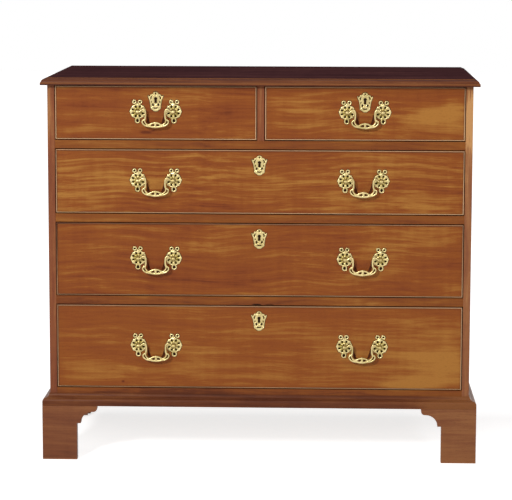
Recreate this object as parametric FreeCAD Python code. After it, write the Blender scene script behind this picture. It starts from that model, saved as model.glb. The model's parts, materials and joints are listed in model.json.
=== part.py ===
"""A straight-fronted chest of drawers in the English manner of about 1770.

Two short drawers over three long graduated ones, cockbeaded, in a case with a moulded top, a mitred base
moulding and bracket feet. Each drawer is dovetailed and has pierced cast handles, a pierced escutcheon and a
working lock. Millimetres, +Z up, +X to the right of someone facing the chest, which faces -Y. The origin is
on the floor, at the middle of the whole object's footprint.
"""

import FreeCAD
import Part

import math
import os

V = FreeCAD.Vector

# ---- the case -------------------------------------------------------------------------------------------
CASE_WIDTH = 1050.0  # over the two sides
CASE_DEPTH = 530.0  # from the face of the rails to the back
SIDE_THICK = 18.0
FOOT_HEIGHT = 137.0  # floor to the underside of the base moulding
PLINTH_HIGH = 44.5  # rail under the lowest drawer, part of it behind the base moulding
PLINTH_THICK = 20.0
RAIL_THICK = 21.0
RAIL_DEEP = 60.0
OPENING_HEIGHTS = (212.5, 185.5, 162.5, 136.0)  # the long drawers from the bottom up, then the short pair
HOUSING = 7.0  # how far rails, runners and bottom let into the sides
HOUSING_STOP = 8.0  # the housings start this far behind the face, so the sides' edges stay whole
TENON = 5.0  # of the partition's post, into the rail and the top
BOTTOM_THICK = 20.0
RUNNER_WIDE = 36.0
DUST_THICK = 9.0
DUST_GROOVE = 6.0
DUST_SLACK = 0.5
PARTITION_THICK = 18.0
PARTITION_X = 3.0  # the partition stands a little right of the middle
CENTRE_RUNNER = 64.0
BACK_THICK = 12.0
BACK_REBATE = 10.0  # width of the rebate in each side that takes the back boards
BACK_BOARDS = 4
BACK_BOARD_GAP = 0.8
STOP_LONG = 38.0
STOP_DEEP = 15.0
STOP_HIGH = 4.5
STOP_IN = 95.0  # from the end of the opening to the middle of its stop
STOP_GAP = 0.3

# ---- the top --------------------------------------------------------------------------------------------
TOP_THICK = 18.0
TOP_OVERHANG = 16.0
TOP_ARRIS_OUT = 2.0  # the upper edge of the top stands this far outside the case
TOP_TONGUE = 9.0  # thickness of the tongue on each side's upper edge
TOP_QUIRK = 2.0  # height of the step under the top's upper edge
TOP_LEDGE = 1.6  # width of the steps above and below the ovolo
TOP_FACE = 6.5  # height of the square face at the bottom of the moulding

# ---- base moulding and feet -----------------------------------------------------------------------------
BASE_OUT = 18.0
BASE_FACE = 11.0  # flat lower part of the base moulding
BASE_OVOLO_HIGH = 8.0
BASE_OVOLO_WIDE = 7.5
BASE_STEP = 1.8
BASE_CAVETTO_HIGH = 9.0
BASE_LEDGE = 2.0
BRACKET_THICK = 20.0
LEG_WIDE = 87.0
SCROLL_BASE = 93.0  # height of the step where the bracket's scroll starts
SCROLL_STEP = 9.5
COVE_RADIUS = 29.0
NOSE_FLAT = 3.0
NOSE_RADIUS = 9.0
REAR_LEG_WIDE = 42.0
REAR_BRACKET = 52.0
GLUE_BLOCK = 38.0
GLUE_BLOCK_LIFT = 4.0

# ---- drawers --------------------------------------------------------------------------------------------
SIDE_GAP = 1.2
TOP_GAP = 1.6
RUN_GAP = 0.3  # the drawer's lower edge above what it slides on
FRONT_THICK = 20.0
BEAD_THICK = 3.2
BEAD_OUT = 3.0
BEAD_IN = 7.0
BEAD_FACETS = 4  # flats round the bead's half-round nose
DRAWER_BACK_GAP = 14.0  # behind the drawer's back when it is shut
LINING_THICK = 9.0  # drawer sides and back
LINING_DROP = 4.0  # drawer sides below the top of the drawer front
PANEL_THICK = 7.0
PANEL_LIFT = 6.0
PANEL_GROOVE = 4.0
PANEL_FRONT_GROOVE = 6.0
TAIL_CLEAR = 0.5  # between the cockbead's back and the front's half-blind dovetails
PIN_WIDE = 5.0
TAIL_FLARE = 1.0 / 6.0
TAIL_PITCH = 58.0

# ---- locks ----------------------------------------------------------------------------------------------
KEYHOLE_DROP = 37.0  # keyhole's middle below the top of the opening
KEYHOLE_RADIUS = 3.4
KEYHOLE_SLOT = 4.8
KEYHOLE_HIGH = 15.4
LOCK_WIDE = 66.0
LOCK_HIGH = 50.0
LOCK_PLATE_THICK = 1.6
LOCK_CASE_DEEP = 8.0
LOCK_CASE_MARGIN = 6.0  # the plate stands out this far round the lock's case
SELVEDGE_THICK = 2.0
BOLT_WIDE = 20.0
BOLT_THICK = 4.0
BOLT_HIGH = 23.0
BOLT_SLACK = 0.3
BOLT_THROW = 8.0
MORTICE_SLACK = 1.2

# ---- handles and escutcheons ----------------------------------------------------------------------------
HANDLE_X = 257.0  # handles of the long drawers, either side of the middle
HANDLE_RISE = 3.5  # pivot above the middle of the opening
POST_SPACING = 88.0
PIVOT_OUT = 16.0
PLATE_THICK = 2.0
PLATE_HALF_WIDE = 20.6
PLATE_HALF_HIGH = 18.0
PLATE_SIDES = 10
LOBE_SIDES = 6
EYE_SIDES = 3
PIERCED_RING = 14.4
PIERCINGS = 8
PIERCE_LONG = 5.2
PIERCE_WIDE = 4.4
EAR_X = 6.6
EAR_Z = 22.6
EAR_RADIUS = 6.3
EAR_EYE = 2.6
DROP_X = 2.2  # the lower loop leans away from the bail
DROP_Z = -23.6
DROP_RADIUS = 7.4
DROP_EYE = 3.6
BOSS_RADIUS = 8.6
SHANK = 4.6
SHANK_SLACK = 0.2
SHANK_PAST = 7.6  # the shanks stand this far out behind the drawer front, for their nuts
NECK_RADIUS = 3.4
HEAD_WIDE = 8.0
HEAD_RADIUS = 4.6
PIN_RADIUS = 2.0
PIN_CLEARANCE = 0.07
PIN_FLATS = 6  # pins and their holes are modelled with flats
PIN_SIDE_GAP = 0.4  # between the bail's shoulder and the post's head
BAIL_THICK = 5.0
BAIL_ROOT = 2.3  # half the height of the bail where it meets its pin
ESCUTCHEON_THICK = 1.6

# ---- levels and faces that follow -----------------------------------------------------------------------
FRONT_MOST = max(PIVOT_OUT + HEAD_RADIUS, BASE_OUT, TOP_OVERHANG)
FACE = (FRONT_MOST - CASE_DEPTH) / 2.0  # Y of the face of the rails and drawer fronts
BACK = FACE + CASE_DEPTH
BACK_FRONT = BACK - BACK_THICK
HALF = CASE_WIDTH / 2.0
INNER = HALF - SIDE_THICK
FLOOR_LEVEL = FOOT_HEIGHT + PLINTH_HIGH
TIERS = [
    (low, low + height)
    for height, low in zip(
        OPENING_HEIGHTS,
        [FLOOR_LEVEL + sum(OPENING_HEIGHTS[:n]) + n * RAIL_THICK for n in range(len(OPENING_HEIGHTS))],
    )
]
TOP_UNDER = TIERS[-1][1]
TOP = TOP_UNDER + TOP_THICK
RAIL_GAPS = [(below[1], above[0]) for below, above in zip(TIERS, TIERS[1:])]
DRAWER_END = BACK_FRONT - DRAWER_BACK_GAP
FRONT_REAR = FACE + FRONT_THICK
LOCK_FRONT = FRONT_REAR - LOCK_PLATE_THICK - LOCK_CASE_DEEP
PIVOT_Y = FACE - PIVOT_OUT
HALF_ROOT = math.sqrt(0.5)
BRASS_FACET = math.radians(52.0)  # the brasses' curved outlines turn by up to this much at each corner
SCROLL_FACET = math.radians(13.0)  # and the feet's scrolls by this much


# ---- helpers --------------------------------------------------------------------------------------------
def box(x0, x1, y0, y1, z0, z1):
    return Part.makeBox(x1 - x0, y1 - y0, z1 - z0, V(x0, y0, z0))


def prism(start, steps, along):
    """A closed outline carried along a vector. A step is a point, or (middle, end) of an arc."""
    edges = []
    here = start
    for step in [*steps, start]:
        if isinstance(step, tuple):
            edges.append(Part.Arc(here, step[0], step[1]).toShape())
            here = step[1]
        elif here.distanceToPoint(step) > 1e-6:
            edges.append(Part.LineSegment(here, step).toShape())
            here = step
    return Part.Face(Part.Wire(edges)).extrude(along)


def upright(outline, x, y, z, thick):
    """A plate with its front at y. The outline is about (x, z); a step may be (middle, end) of a bend."""
    corners = []
    here = outline[0]
    for step in outline:
        if isinstance(step[0], tuple):
            corners += bend(here, *step, BRASS_FACET)
            here = step[1]
        else:
            corners.append(step)
            here = step
    points = [V(x + px, y, z + pz) for px, pz in corners]
    return prism(points[0], points[1:], V(0, thick, 0))


def bend(start, middle, end, facet):
    """Points along the arc through three points, without its start, turning by up to a facet at each."""
    circle = Part.Arc(V(*start, 0), V(*middle, 0), V(*end, 0))
    turn = circle.LastParameter - circle.FirstParameter
    count = math.ceil(turn / facet)
    along = [circle.value(circle.FirstParameter + turn * n / count) for n in range(1, count + 1)]
    return [(point.x, point.y) for point in along]


def tapered(base, top):
    """A solid between two similar polygons, with flat sides."""
    sides = [
        Part.makePolygon([base[n - 1], base[n], top[n], top[n - 1], base[n - 1]]) for n in range(len(base))
    ]
    ends = [Part.makePolygon([*corners, corners[0]]) for corners in (base, top)]
    return Part.Solid(Part.Shell([Part.Face(outline) for outline in [*sides, *ends]]))


def ring(radius_x, radius_z, sides, cx=0.0, cz=0.0):
    """The corners of a polygon round a point, the first one half a step above +X."""
    corners = []
    for n in range(sides):
        a = 2 * math.pi * (n + 0.5) / sides
        corners.append((cx + radius_x * math.cos(a), cz + radius_z * math.sin(a)))
    return corners


def cut(solid, *tools):
    return solid.cut(list(tools)).removeSplitter().Solids[0]


def fuse(solid, *others):
    return solid.fuse(list(others)).removeSplitter().Solids[0]


def mirror(shape, x=0.0):
    """The same shape on the other side of the upright plane at x."""
    return shape.mirror(V(x, 0, 0), V(1, 0, 0))


# ---- case: rails, runners and dustboards ----------------------------------------------------------------
def cross_rail(low, high, deep):
    """A rail across the front: shouldered at the face, let into the sides behind it."""
    body = box(-INNER, INNER, FACE, FACE + deep, low, high)
    return fuse(body, box(-INNER - HOUSING, INNER + HOUSING, FACE + HOUSING_STOP, FACE + deep, low, high))


def plinth_rail():
    return cross_rail(FOOT_HEIGHT, FLOOR_LEVEL, PLINTH_THICK)


def dustboard(low, high, slack=0.0):
    """The panel between two tiers, in grooves in the rail and the runners."""
    middle = (low + high) / 2.0
    reach = INNER - RUNNER_WIDE + DUST_GROOVE - slack
    front = FACE + RAIL_DEEP - DUST_GROOVE + slack
    return box(-reach, reach, front, BACK_FRONT, middle - DUST_THICK / 2.0, middle + DUST_THICK / 2.0)


def drawer_rails():
    """The rail over each tier but the top one, grooved, and morticed for the locks and the partition."""
    mortices = [drawer.bolt_mortice() for drawer in DRAWERS]
    post = partition()[0]
    return [cut(cross_rail(*gap, RAIL_DEEP), dustboard(*gap), post, *mortices) for gap in RAIL_GAPS]


def side_runners():
    """The right-hand runners behind each rail, before they are grooved."""
    x0, x1 = INNER - RUNNER_WIDE, INNER + HOUSING
    return [box(x0, x1, FACE + RAIL_DEEP, BACK_FRONT, *gap) for gap in RAIL_GAPS]


def runners():
    """A runner at each side of every dustboard, and a wide one under the partition."""
    made = []
    for gap, runner in zip(RAIL_GAPS, side_runners()):
        made += [cut(runner, dustboard(*gap)), cut(mirror(runner), dustboard(*gap))]
    low, high = RAIL_GAPS[-1]
    x0, x1 = PARTITION_X - CENTRE_RUNNER / 2.0, PARTITION_X + CENTRE_RUNNER / 2.0
    centre = box(x0, x1, FACE + RAIL_DEEP, BACK_FRONT, (low + high + DUST_THICK) / 2.0, high)
    return [*made, centre]


def partition():
    """The upright between the short drawers: a tenoned post at the face, and the guide board behind it."""
    x0, x1 = PARTITION_X - PARTITION_THICK / 2.0, PARTITION_X + PARTITION_THICK / 2.0
    low, high = TIERS[-1]
    post = box(x0, x1, FACE, FACE + RAIL_DEEP, low, high)
    tenon = box(x0, x1, FACE + HOUSING_STOP, FACE + RAIL_DEEP - DUST_GROOVE, low - TENON, high + TENON)
    return [fuse(post, tenon), box(x0, x1, FACE + RAIL_DEEP, BACK_FRONT, low, high)]


def drawer_stops():
    """Two small blocks behind each drawer front, glued to what the drawer slides on."""
    y = FRONT_REAR + STOP_GAP
    made = []
    for drawer in DRAWERS:
        for x in (drawer.left + STOP_IN, drawer.right - STOP_IN):
            half = STOP_LONG / 2.0
            made.append(box(x - half, x + half, y, y + STOP_DEEP, drawer.low, drawer.low + STOP_HIGH))
    return made


# ---- case: sides, bottom, back and top ------------------------------------------------------------------
def bottom_board():
    """The board under the lowest drawer, behind the plinth rail."""
    y = FACE + PLINTH_THICK
    return box(-INNER - HOUSING, INNER + HOUSING, y, BACK_FRONT, FLOOR_LEVEL - BOTTOM_THICK, FLOOR_LEVEL)


def side_board():
    """The right side: rebated for the back, housed for rails and runners, and tongued into the top."""
    board = box(INNER, HALF, FACE, BACK, FOOT_HEIGHT, TOP_UNDER)
    x = INNER + (SIDE_THICK - TOP_TONGUE) / 2.0
    tongue = box(x, x + TOP_TONGUE, FACE + SIDE_THICK, BACK_FRONT, TOP_UNDER, TOP_UNDER + HOUSING)
    rebate = box(INNER, INNER + BACK_REBATE, BACK_FRONT, BACK, FOOT_HEIGHT, TOP_UNDER)
    rails = [cross_rail(*gap, RAIL_DEEP) for gap in RAIL_GAPS]
    return cut(fuse(board, tongue), rebate, bottom_board(), plinth_rail(), *rails, *side_runners())


def backboards():
    """Boards laid across the back in the rebates of the sides."""
    reach = INNER + BACK_REBATE
    pitch = (TOP_UNDER - FOOT_HEIGHT + BACK_BOARD_GAP) / BACK_BOARDS
    lows = [FOOT_HEIGHT + n * pitch for n in range(BACK_BOARDS)]
    return [box(-reach, reach, BACK_FRONT, BACK, low, low + pitch - BACK_BOARD_GAP) for low in lows]


def top_moulding_waste(length):
    """What is cut away along one edge of the top, as a bar along +Y with the arris at X = Z = 0."""
    out = TOP_OVERHANG - TOP_ARRIS_OUT
    wide = out - 2 * TOP_LEDGE
    high = TOP_THICK - TOP_QUIRK - TOP_FACE
    shoulder = (TOP_LEDGE + wide * HALF_ROOT, -TOP_QUIRK - high * (1 - HALF_ROOT))
    face = TOP_FACE - TOP_THICK
    spare = TOP_THICK

    def at(x, z):
        return V(x, 0, z)

    steps = [
        at(0, -TOP_QUIRK), at(TOP_LEDGE, -TOP_QUIRK), (at(*shoulder), at(TOP_LEDGE + wide, face)),
        at(out, face), at(out + spare, face), at(out + spare, spare),
    ]
    return prism(at(0, spare), steps, V(0, length, 0))


def top_board():
    """The top: moulded on three edges, grooved for the sides' tongues, morticed for partition and bolts."""
    reach = HALF + TOP_OVERHANG
    board = box(-reach, reach, FACE - TOP_OVERHANG, BACK, TOP_UNDER, TOP)
    length = CASE_WIDTH + CASE_DEPTH
    right = top_moulding_waste(length)
    front = right.copy()
    right.translate(V(HALF + TOP_ARRIS_OUT, BACK + TOP_THICK - length, TOP))
    front.rotate(V(0, 0, 0), V(0, 0, 1), -90)
    front.translate(V(-length / 2.0, FACE - TOP_ARRIS_OUT, TOP))
    side = side_board()
    mortices = [drawer.bolt_mortice() for drawer in DRAWERS]
    return cut(board, right, mirror(right), front, side, mirror(side), partition()[0], *mortices)


# ---- base moulding and feet -----------------------------------------------------------------------------
def front_of_mitre():
    """All that lies on the front's side of the mitre at the front right corner."""
    spread = BASE_OUT + BRACKET_THICK
    far = -CASE_WIDTH
    corners = [
        V(HALF + spread, FACE - spread, 0), V(HALF - spread, FACE + spread, 0),
        V(far, FACE + spread, 0), V(far, FACE - spread, 0),
    ]
    return prism(corners[0], corners[1:], V(0, 0, TOP))


def base_bar(length):
    """A length of base moulding along +Y: flat face, ovolo, step, cavetto and a narrow ledge."""
    face = FOOT_HEIGHT + BASE_FACE
    step = face + BASE_OVOLO_HIGH
    inner = BASE_OUT - BASE_OVOLO_WIDE
    foot = inner - BASE_STEP
    cove = step + BASE_STEP
    top = cove + BASE_CAVETTO_HIGH

    def at(x, z):
        return V(x, 0, z)

    ovolo = at(inner + BASE_OVOLO_WIDE * HALF_ROOT, face + BASE_OVOLO_HIGH * HALF_ROOT)
    cavetto = at(foot - (foot - BASE_LEDGE) * HALF_ROOT, top - BASE_CAVETTO_HIGH * HALF_ROOT)
    steps = [
        at(BASE_OUT, FOOT_HEIGHT), at(BASE_OUT, face), (ovolo, at(inner, step)), at(foot, step),
        at(foot, cove), (cavetto, at(BASE_LEDGE, top)), at(0, top),
    ]
    return prism(at(0, FOOT_HEIGHT), steps, V(0, length, 0))


def base_moulding():
    """The front length, mitred at both ends, and the right-hand one."""
    mitre = front_of_mitre()
    side = base_bar(CASE_DEPTH + BASE_OUT)
    side.translate(V(HALF, FACE - BASE_OUT, 0))
    front = base_bar(CASE_WIDTH + 2 * BASE_OUT)
    front.rotate(V(0, 0, 0), V(0, 0, 1), -90)
    front.translate(V(-HALF - BASE_OUT, FACE, 0))
    front = front.common(mitre).common(mirror(mitre)).removeSplitter().Solids[0]
    return front, cut(side, mitre)


def bracket(place, along):
    """A scrolled bracket: leg, step, cove and nose. place(s, z) is the point s along from its corner."""
    step = LEG_WIDE + SCROLL_STEP
    cove_end = step + COVE_RADIUS
    cove_top = SCROLL_BASE + COVE_RADIUS
    nose = cove_end + NOSE_FLAT
    end = nose + NOSE_RADIUS
    cove_middle = (cove_end - COVE_RADIUS * HALF_ROOT, SCROLL_BASE + COVE_RADIUS * HALF_ROOT)
    nose_middle = (nose + NOSE_RADIUS * HALF_ROOT, cove_top + NOSE_RADIUS * (1 - HALF_ROOT))
    corners = [
        (0, 0), (LEG_WIDE, 0), (LEG_WIDE, SCROLL_BASE), (step, SCROLL_BASE),
        *bend((step, SCROLL_BASE), cove_middle, (cove_end, cove_top), SCROLL_FACET), (nose, cove_top),
        *bend((nose, cove_top), nose_middle, (end, cove_top + NOSE_RADIUS), 2 * SCROLL_FACET),
        (end, FOOT_HEIGHT), (0, FOOT_HEIGHT),
    ]
    points = [place(*corner) for corner in corners]
    return prism(points[0], points[1:], along)


def front_foot():
    """The right front foot: two scrolled brackets mitred at the corner, and the glue block behind them."""
    x, y = HALF + BASE_OUT, FACE - BASE_OUT
    mitre = front_of_mitre()
    across = bracket(lambda s, z: V(x - s, y, z), V(0, BRACKET_THICK, 0))
    side = bracket(lambda s, z: V(x, y + s, z), V(-BRACKET_THICK, 0, 0))
    inner, rear = x - BRACKET_THICK, y + BRACKET_THICK
    block = box(inner - GLUE_BLOCK, inner, rear, rear + GLUE_BLOCK, GLUE_BLOCK_LIFT, FOOT_HEIGHT)
    return [across.common(mitre).removeSplitter().Solids[0], cut(side, mitre), block]


def rear_foot():
    """The right rear foot: a scrolled side bracket, a plain bracket across the back, and the glue block."""
    x = HALF + BASE_OUT
    inner, front = x - BRACKET_THICK, BACK - BRACKET_THICK
    side = bracket(lambda s, z: V(x, BACK - s, z), V(-BRACKET_THICK, 0, 0))
    leg, end = inner - REAR_LEG_WIDE, inner - REAR_BRACKET
    corners = [
        V(inner, front, 0), V(leg, front, 0), V(leg, front, SCROLL_BASE), V(end, front, FOOT_HEIGHT),
        V(inner, front, FOOT_HEIGHT),
    ]
    across = prism(corners[0], corners[1:], V(0, BRACKET_THICK, 0))
    block = box(inner - GLUE_BLOCK, inner, front - GLUE_BLOCK, front, GLUE_BLOCK_LIFT, FOOT_HEIGHT)
    return [side, across, block]


# ---- brasses --------------------------------------------------------------------------------------------
def handle_plate(x, z, to_bail):
    """A pierced rosette: a rounded plate with a ring of piercings, two ears above and a loop below."""
    y = FACE - PLATE_THICK
    ears = [((side * EAR_X, EAR_Z), EAR_RADIUS, EAR_EYE) for side in (-1, 1)]
    lobes = [*ears, ((-to_bail * DROP_X, DROP_Z), DROP_RADIUS, DROP_EYE)]

    def flat(outline):
        return upright(outline, x, y, z, PLATE_THICK)

    body = fuse(
        flat(ring(PLATE_HALF_WIDE, PLATE_HALF_HIGH, PLATE_SIDES)),
        *[flat(ring(radius, radius, LOBE_SIDES, *centre)) for centre, radius, _ in lobes],
    )
    eyes = [flat(ring(eye, eye, EYE_SIDES, *centre)) for centre, _, eye in lobes]
    piercings = [flat(piercing(n)) for n in range(PIERCINGS)]
    hole = SHANK / 2.0 + SHANK_SLACK
    shank = box(x - hole, x + hole, y, FACE, z - hole, z + hole)
    return cut(body, shank, *eyes, *piercings)


def piercing(n):
    """A small triangle in the rosette's ring, pointing outwards."""
    a = 2 * math.pi * (n + 0.5) / PIERCINGS
    out_x, out_z = math.cos(a), math.sin(a)
    squash = PLATE_HALF_HIGH / PLATE_HALF_WIDE
    corners = []
    for out, aside in ((PIERCE_LONG, 0.0), (-PIERCE_LONG, PIERCE_WIDE), (-PIERCE_LONG, -PIERCE_WIDE)):
        radius = PIERCED_RING + out / 2.0
        side = aside / 2.0
        corners.append((radius * out_x - side * out_z, (radius * out_z + side * out_x) * squash))
    return corners


def post(x, z):
    """A cast post: head drilled for the bail's pin, spreading foot, and shank through the drawer front."""
    half = HEAD_WIDE / 2.0
    radius = HEAD_RADIUS / math.cos(math.pi / 8)
    corners = [V(x - half, PIVOT_Y + py, z + pz) for py, pz in ring(radius, radius, 8)]
    head = prism(corners[0], corners[1:], V(HEAD_WIDE, 0, 0))
    bore = rod(x - half, HEAD_WIDE, z, PIN_RADIUS + PIN_CLEARANCE)
    foot_y = FACE - PLATE_THICK
    foot = tapered(
        [V(x + px, foot_y, z + pz) for px, pz in ring(BOSS_RADIUS, BOSS_RADIUS, 8)],
        [V(x + px, PIVOT_Y + HEAD_RADIUS, z + pz) for px, pz in ring(NECK_RADIUS, NECK_RADIUS, 8)],
    )
    end = FRONT_REAR + SHANK_PAST
    shank = box(x - SHANK / 2, x + SHANK / 2, foot_y, end, z - SHANK / 2, z + SHANK / 2)
    return cut(fuse(head, foot, shank), bore)


def rod(x, length, z, flat_radius):
    """A faceted rod on the bail's axis, from x to the right; flat_radius is from its axis to its flats."""
    radius = flat_radius / math.cos(math.pi / PIN_FLATS)
    corners = [V(x, PIVOT_Y + py, z + pz) for py, pz in ring(radius, radius, PIN_FLATS)]
    return prism(corners[0], corners[1:], V(length, 0, 0))


def bail(x, z):
    """The swinging handle: swan necks, a pierced leaf at each lower corner, and a pierced oval grip."""
    y = PIVOT_Y - BAIL_THICK / 2.0
    pin_end = POST_SPACING / 2.0 + HEAD_WIDE / 2.0
    shoulder = pin_end - HEAD_WIDE - PIN_SIDE_GAP
    right_half = [
        (0.0, -23.2), ((8.6, -23.6), (14.6, -28.0)), (20.8, -27.4), ((20.0, -13.0), (20.8, 0.0)),
        ((24.2, 7.6), (31.2, 7.6)), (shoulder, BAIL_ROOT), (shoulder, -BAIL_ROOT),
        ((shoulder - 5.6, 1.8), (29.4, 3.4)), (25.4, -2.6), (25.0, -15.6), ((33.4, -15.4), (36.2, -20.6)),
        ((34.0, -28.6), (26.4, -33.6)), (19.4, -33.4), (14.6, -31.8), ((9.6, -36.8), (2.4, -37.2)),
        (0.0, -39.4),
    ]
    leaf_eye = [(24.6, -28.6), (28.8, -20.0), (32.6, -21.4), (29.4, -27.6)]
    grip_eye = [(2.8, -31.4), (7.0, -29.4), (11.2, -31.4), (7.0, -33.6)]
    half = upright(right_half, x, y, z, BAIL_THICK)
    half = cut(half, upright(leaf_eye, x, y, z, BAIL_THICK), upright(grip_eye, x, y, z, BAIL_THICK))
    pin = rod(x + shoulder, pin_end - shoulder, z, PIN_RADIUS * math.cos(math.pi / PIN_FLATS))
    half = fuse(half, pin)
    return fuse(half, mirror(half, x))


def escutcheon_blank(x, z):
    """The pierced keyhole plate before its keyhole: pointed head, side horns and a narrowing foot."""
    y = FACE - ESCUTCHEON_THICK
    right_half = [
        (0.0, 22.0), ((2.6, 17.0), (8.6, 15.4)), ((12.8, 14.4), (14.2, 10.6)), ((17.2, 8.8), (21.0, 11.6)),
        (20.6, 2.4), ((16.0, -1.6), (14.8, -8.0)), (13.8, -19.4), ((13.8, -24.4), (9.4, -25.6)),
        ((7.2, -28.8), (3.6, -28.4)), (0.0, -26.0),
    ]
    piercings = [
        [(6.8, 10.4), (11.4, 11.2), (8.8, 6.4)], [(12.6, 6.0), (17.0, 4.6), (12.8, -0.4)],
        [(6.4, -12.4), (11.6, -10.0), (10.2, -18.6)], [(2.4, -20.6), (7.8, -20.4), (4.2, -25.0)],
    ]
    half = upright(right_half, x, y, z, ESCUTCHEON_THICK)
    half = cut(half, *[upright(hole, x, y, z, ESCUTCHEON_THICK) for hole in piercings])
    return fuse(half, mirror(half, x))


# ---- drawers --------------------------------------------------------------------------------------------
def tails(base, tip, low, high):
    """(y, z) points up one end of a drawer side, with dovetails from base out to tip."""
    count = max(2, round((high - low) / TAIL_PITCH))
    pitch = (high - low) / count
    flare = abs(tip - base) * TAIL_FLARE
    points = []
    for n in range(count):
        z0 = low + n * pitch + PIN_WIDE / 2.0
        z1 = z0 + pitch - PIN_WIDE
        points += [(base, z0 + flare), (tip, z0), (tip, z1), (base, z1 - flare)]
    return points


class Drawer:
    """One drawer: the opening it fills, and every piece that moves with it."""

    def __init__(self, name, left, right, tier, handles):
        self.name = name
        self.left, self.right = left, right
        self.low, self.high = tier
        self.x0, self.x1 = left + SIDE_GAP, right - SIDE_GAP
        self.z0, self.z1 = self.low + RUN_GAP, self.high - TOP_GAP
        self.middle = (left + right) / 2.0
        self.handles = handles
        self.pivot_z = (self.low + self.high) / 2.0 + HANDLE_RISE
        self.key_z = self.high - KEYHOLE_DROP

    def posts(self):
        """X of each post, with the sign that points from it to its bail."""
        return [(x + side * POST_SPACING / 2.0, -side) for x in self.handles.values() for side in (-1, 1)]

    # -- wood
    def panel(self):
        """The bottom: in grooves in the front and sides, running out under the back."""
        z0 = self.z0 + PANEL_LIFT
        x0, x1 = self.x0 + LINING_THICK, self.x1 - LINING_THICK
        board = box(x0 - PANEL_GROOVE, x1 + PANEL_GROOVE, FRONT_REAR, DRAWER_END, z0, z0 + PANEL_THICK)
        return fuse(board, box(x0, x1, FRONT_REAR - PANEL_FRONT_GROOVE, FRONT_REAR, z0, z0 + PANEL_THICK))

    def box_pieces(self):
        """Left and right sides with dovetails at both ends, the back, and the bottom."""
        top = self.z1 - LINING_DROP
        panel = self.panel()
        above = panel.BoundBox.ZMax
        inside = DRAWER_END - LINING_THICK
        front_tails = tails(FRONT_REAR, FACE + BEAD_IN + TAIL_CLEAR, self.z0, top)
        rear_tails = tails(inside, DRAWER_END, above, top)
        outline = [
            (FRONT_REAR, self.z0), *front_tails, (FRONT_REAR, top), (inside, top), *reversed(rear_tails),
            (inside, above), (DRAWER_END, above), (DRAWER_END, self.z0),
        ]
        corners = [V(self.x0, y, z) for y, z in outline]
        left = cut(prism(corners[0], corners[1:], V(LINING_THICK, 0, 0)), panel)
        right = mirror(left, (self.x0 + self.x1) / 2.0)
        back = box(self.x0, self.x1, inside, DRAWER_END, above, top)
        return [left, right, cut(back, left, right), panel]

    def bead(self, length, across, turn):
        """One mitred strip of cockbead with a rounded nose, turned into its place round the front."""
        radius = BEAD_THICK / 2.0
        deep = FACE + BEAD_IN
        turns = [math.pi * n / BEAD_FACETS for n in range(BEAD_FACETS + 1)]
        centre = FACE - BEAD_OUT + radius
        nose = [V(0, centre - radius * math.sin(a), radius - radius * math.cos(a)) for a in turns]
        section = prism(V(0, deep, 0), [*nose, V(0, deep, BEAD_THICK)], V(length, 0, 0))
        near = FACE - BEAD_OUT
        mitres = prism(
            V(0, near, 0),
            [V(BEAD_THICK, near, BEAD_THICK), V(length - BEAD_THICK, near, BEAD_THICK), V(length, near, 0)],
            V(0, deep - near, 0),
        )
        strip = section.common(mitres).removeSplitter().Solids[0]
        strip.translate(V(-length / 2.0, 0, -across / 2.0))
        strip.rotate(V(0, 0, 0), V(0, 1, 0), turn)
        strip.translate(V((self.x0 + self.x1) / 2.0, 0, (self.z0 + self.z1) / 2.0))
        return strip

    def cockbead(self):
        width, height = self.x1 - self.x0, self.z1 - self.z0
        sizes = [(width, height), (height, width)] * 2
        return [self.bead(length, across, 90.0 * n) for n, (length, across) in enumerate(sizes)]

    def front(self):
        """The drawer front, cut for its cockbead, dovetails, bottom, lock, keyhole and handle posts."""
        x0, x1, z0, z1 = self.x0, self.x1, self.z0, self.z1
        behind = box(x0, x1, FACE + BEAD_IN, FRONT_REAR, z0, z1)
        face = box(x0 + BEAD_THICK, x1 - BEAD_THICK, FACE, FRONT_REAR, z0 + BEAD_THICK, z1 - BEAD_THICK)
        hole = SHANK / 2.0 + SHANK_SLACK
        z = self.pivot_z
        shanks = [box(x - hole, x + hole, FACE, FRONT_REAR, z - hole, z + hole) for x, _ in self.posts()]
        keyhole = self.keyhole(FACE, FRONT_THICK)
        return cut(fuse(behind, face), *self.box_pieces(), self.lock_block(), keyhole, *shanks)

    # -- lock
    def keyhole(self, y, deep):
        """A round hole over a slot, from y back."""
        half = KEYHOLE_SLOT / 2.0
        top = KEYHOLE_HIGH / 2.0
        centre = top - KEYHOLE_RADIUS
        meet = centre - math.sqrt(KEYHOLE_RADIUS**2 - half**2)
        outline = [(-half, -top), (half, -top), (half, meet), ((0.0, top), (-half, meet))]
        return upright(outline, self.middle, y, self.key_z, deep)

    def lock_block(self):
        """The lock's plate, case and selvedge, without its inner hollows."""
        low = self.z1 - LOCK_HIGH
        x0, x1 = self.middle - LOCK_WIDE / 2.0, self.middle + LOCK_WIDE / 2.0
        rear = FRONT_REAR - LOCK_PLATE_THICK
        margin = LOCK_CASE_MARGIN
        return fuse(
            box(x0, x1, rear, FRONT_REAR, low, self.z1),
            box(x0 + margin, x1 - margin, LOCK_FRONT, rear, low + margin / 2.0, self.z1),
            box(x0, x1, LOCK_FRONT, FRONT_REAR, self.z1 - SELVEDGE_THICK, self.z1),
        )

    def bolt_space(self, slack, low, high):
        """The bolt's section, grown by a slack, between two levels."""
        half = BOLT_WIDE / 2.0 + slack
        y = LOCK_FRONT + LOCK_CASE_DEEP / 2.0
        deep = BOLT_THICK / 2.0 + slack
        return box(self.middle - half, self.middle + half, y - deep, y + deep, low, high)

    def bolt(self):
        return self.bolt_space(0.0, self.z1 - BOLT_HIGH, self.z1)

    def bolt_mortice(self):
        """The slot above the drawer that takes the thrown bolt."""
        return self.bolt_space(MORTICE_SLACK, self.high, self.z1 + BOLT_THROW + MORTICE_SLACK)

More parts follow.
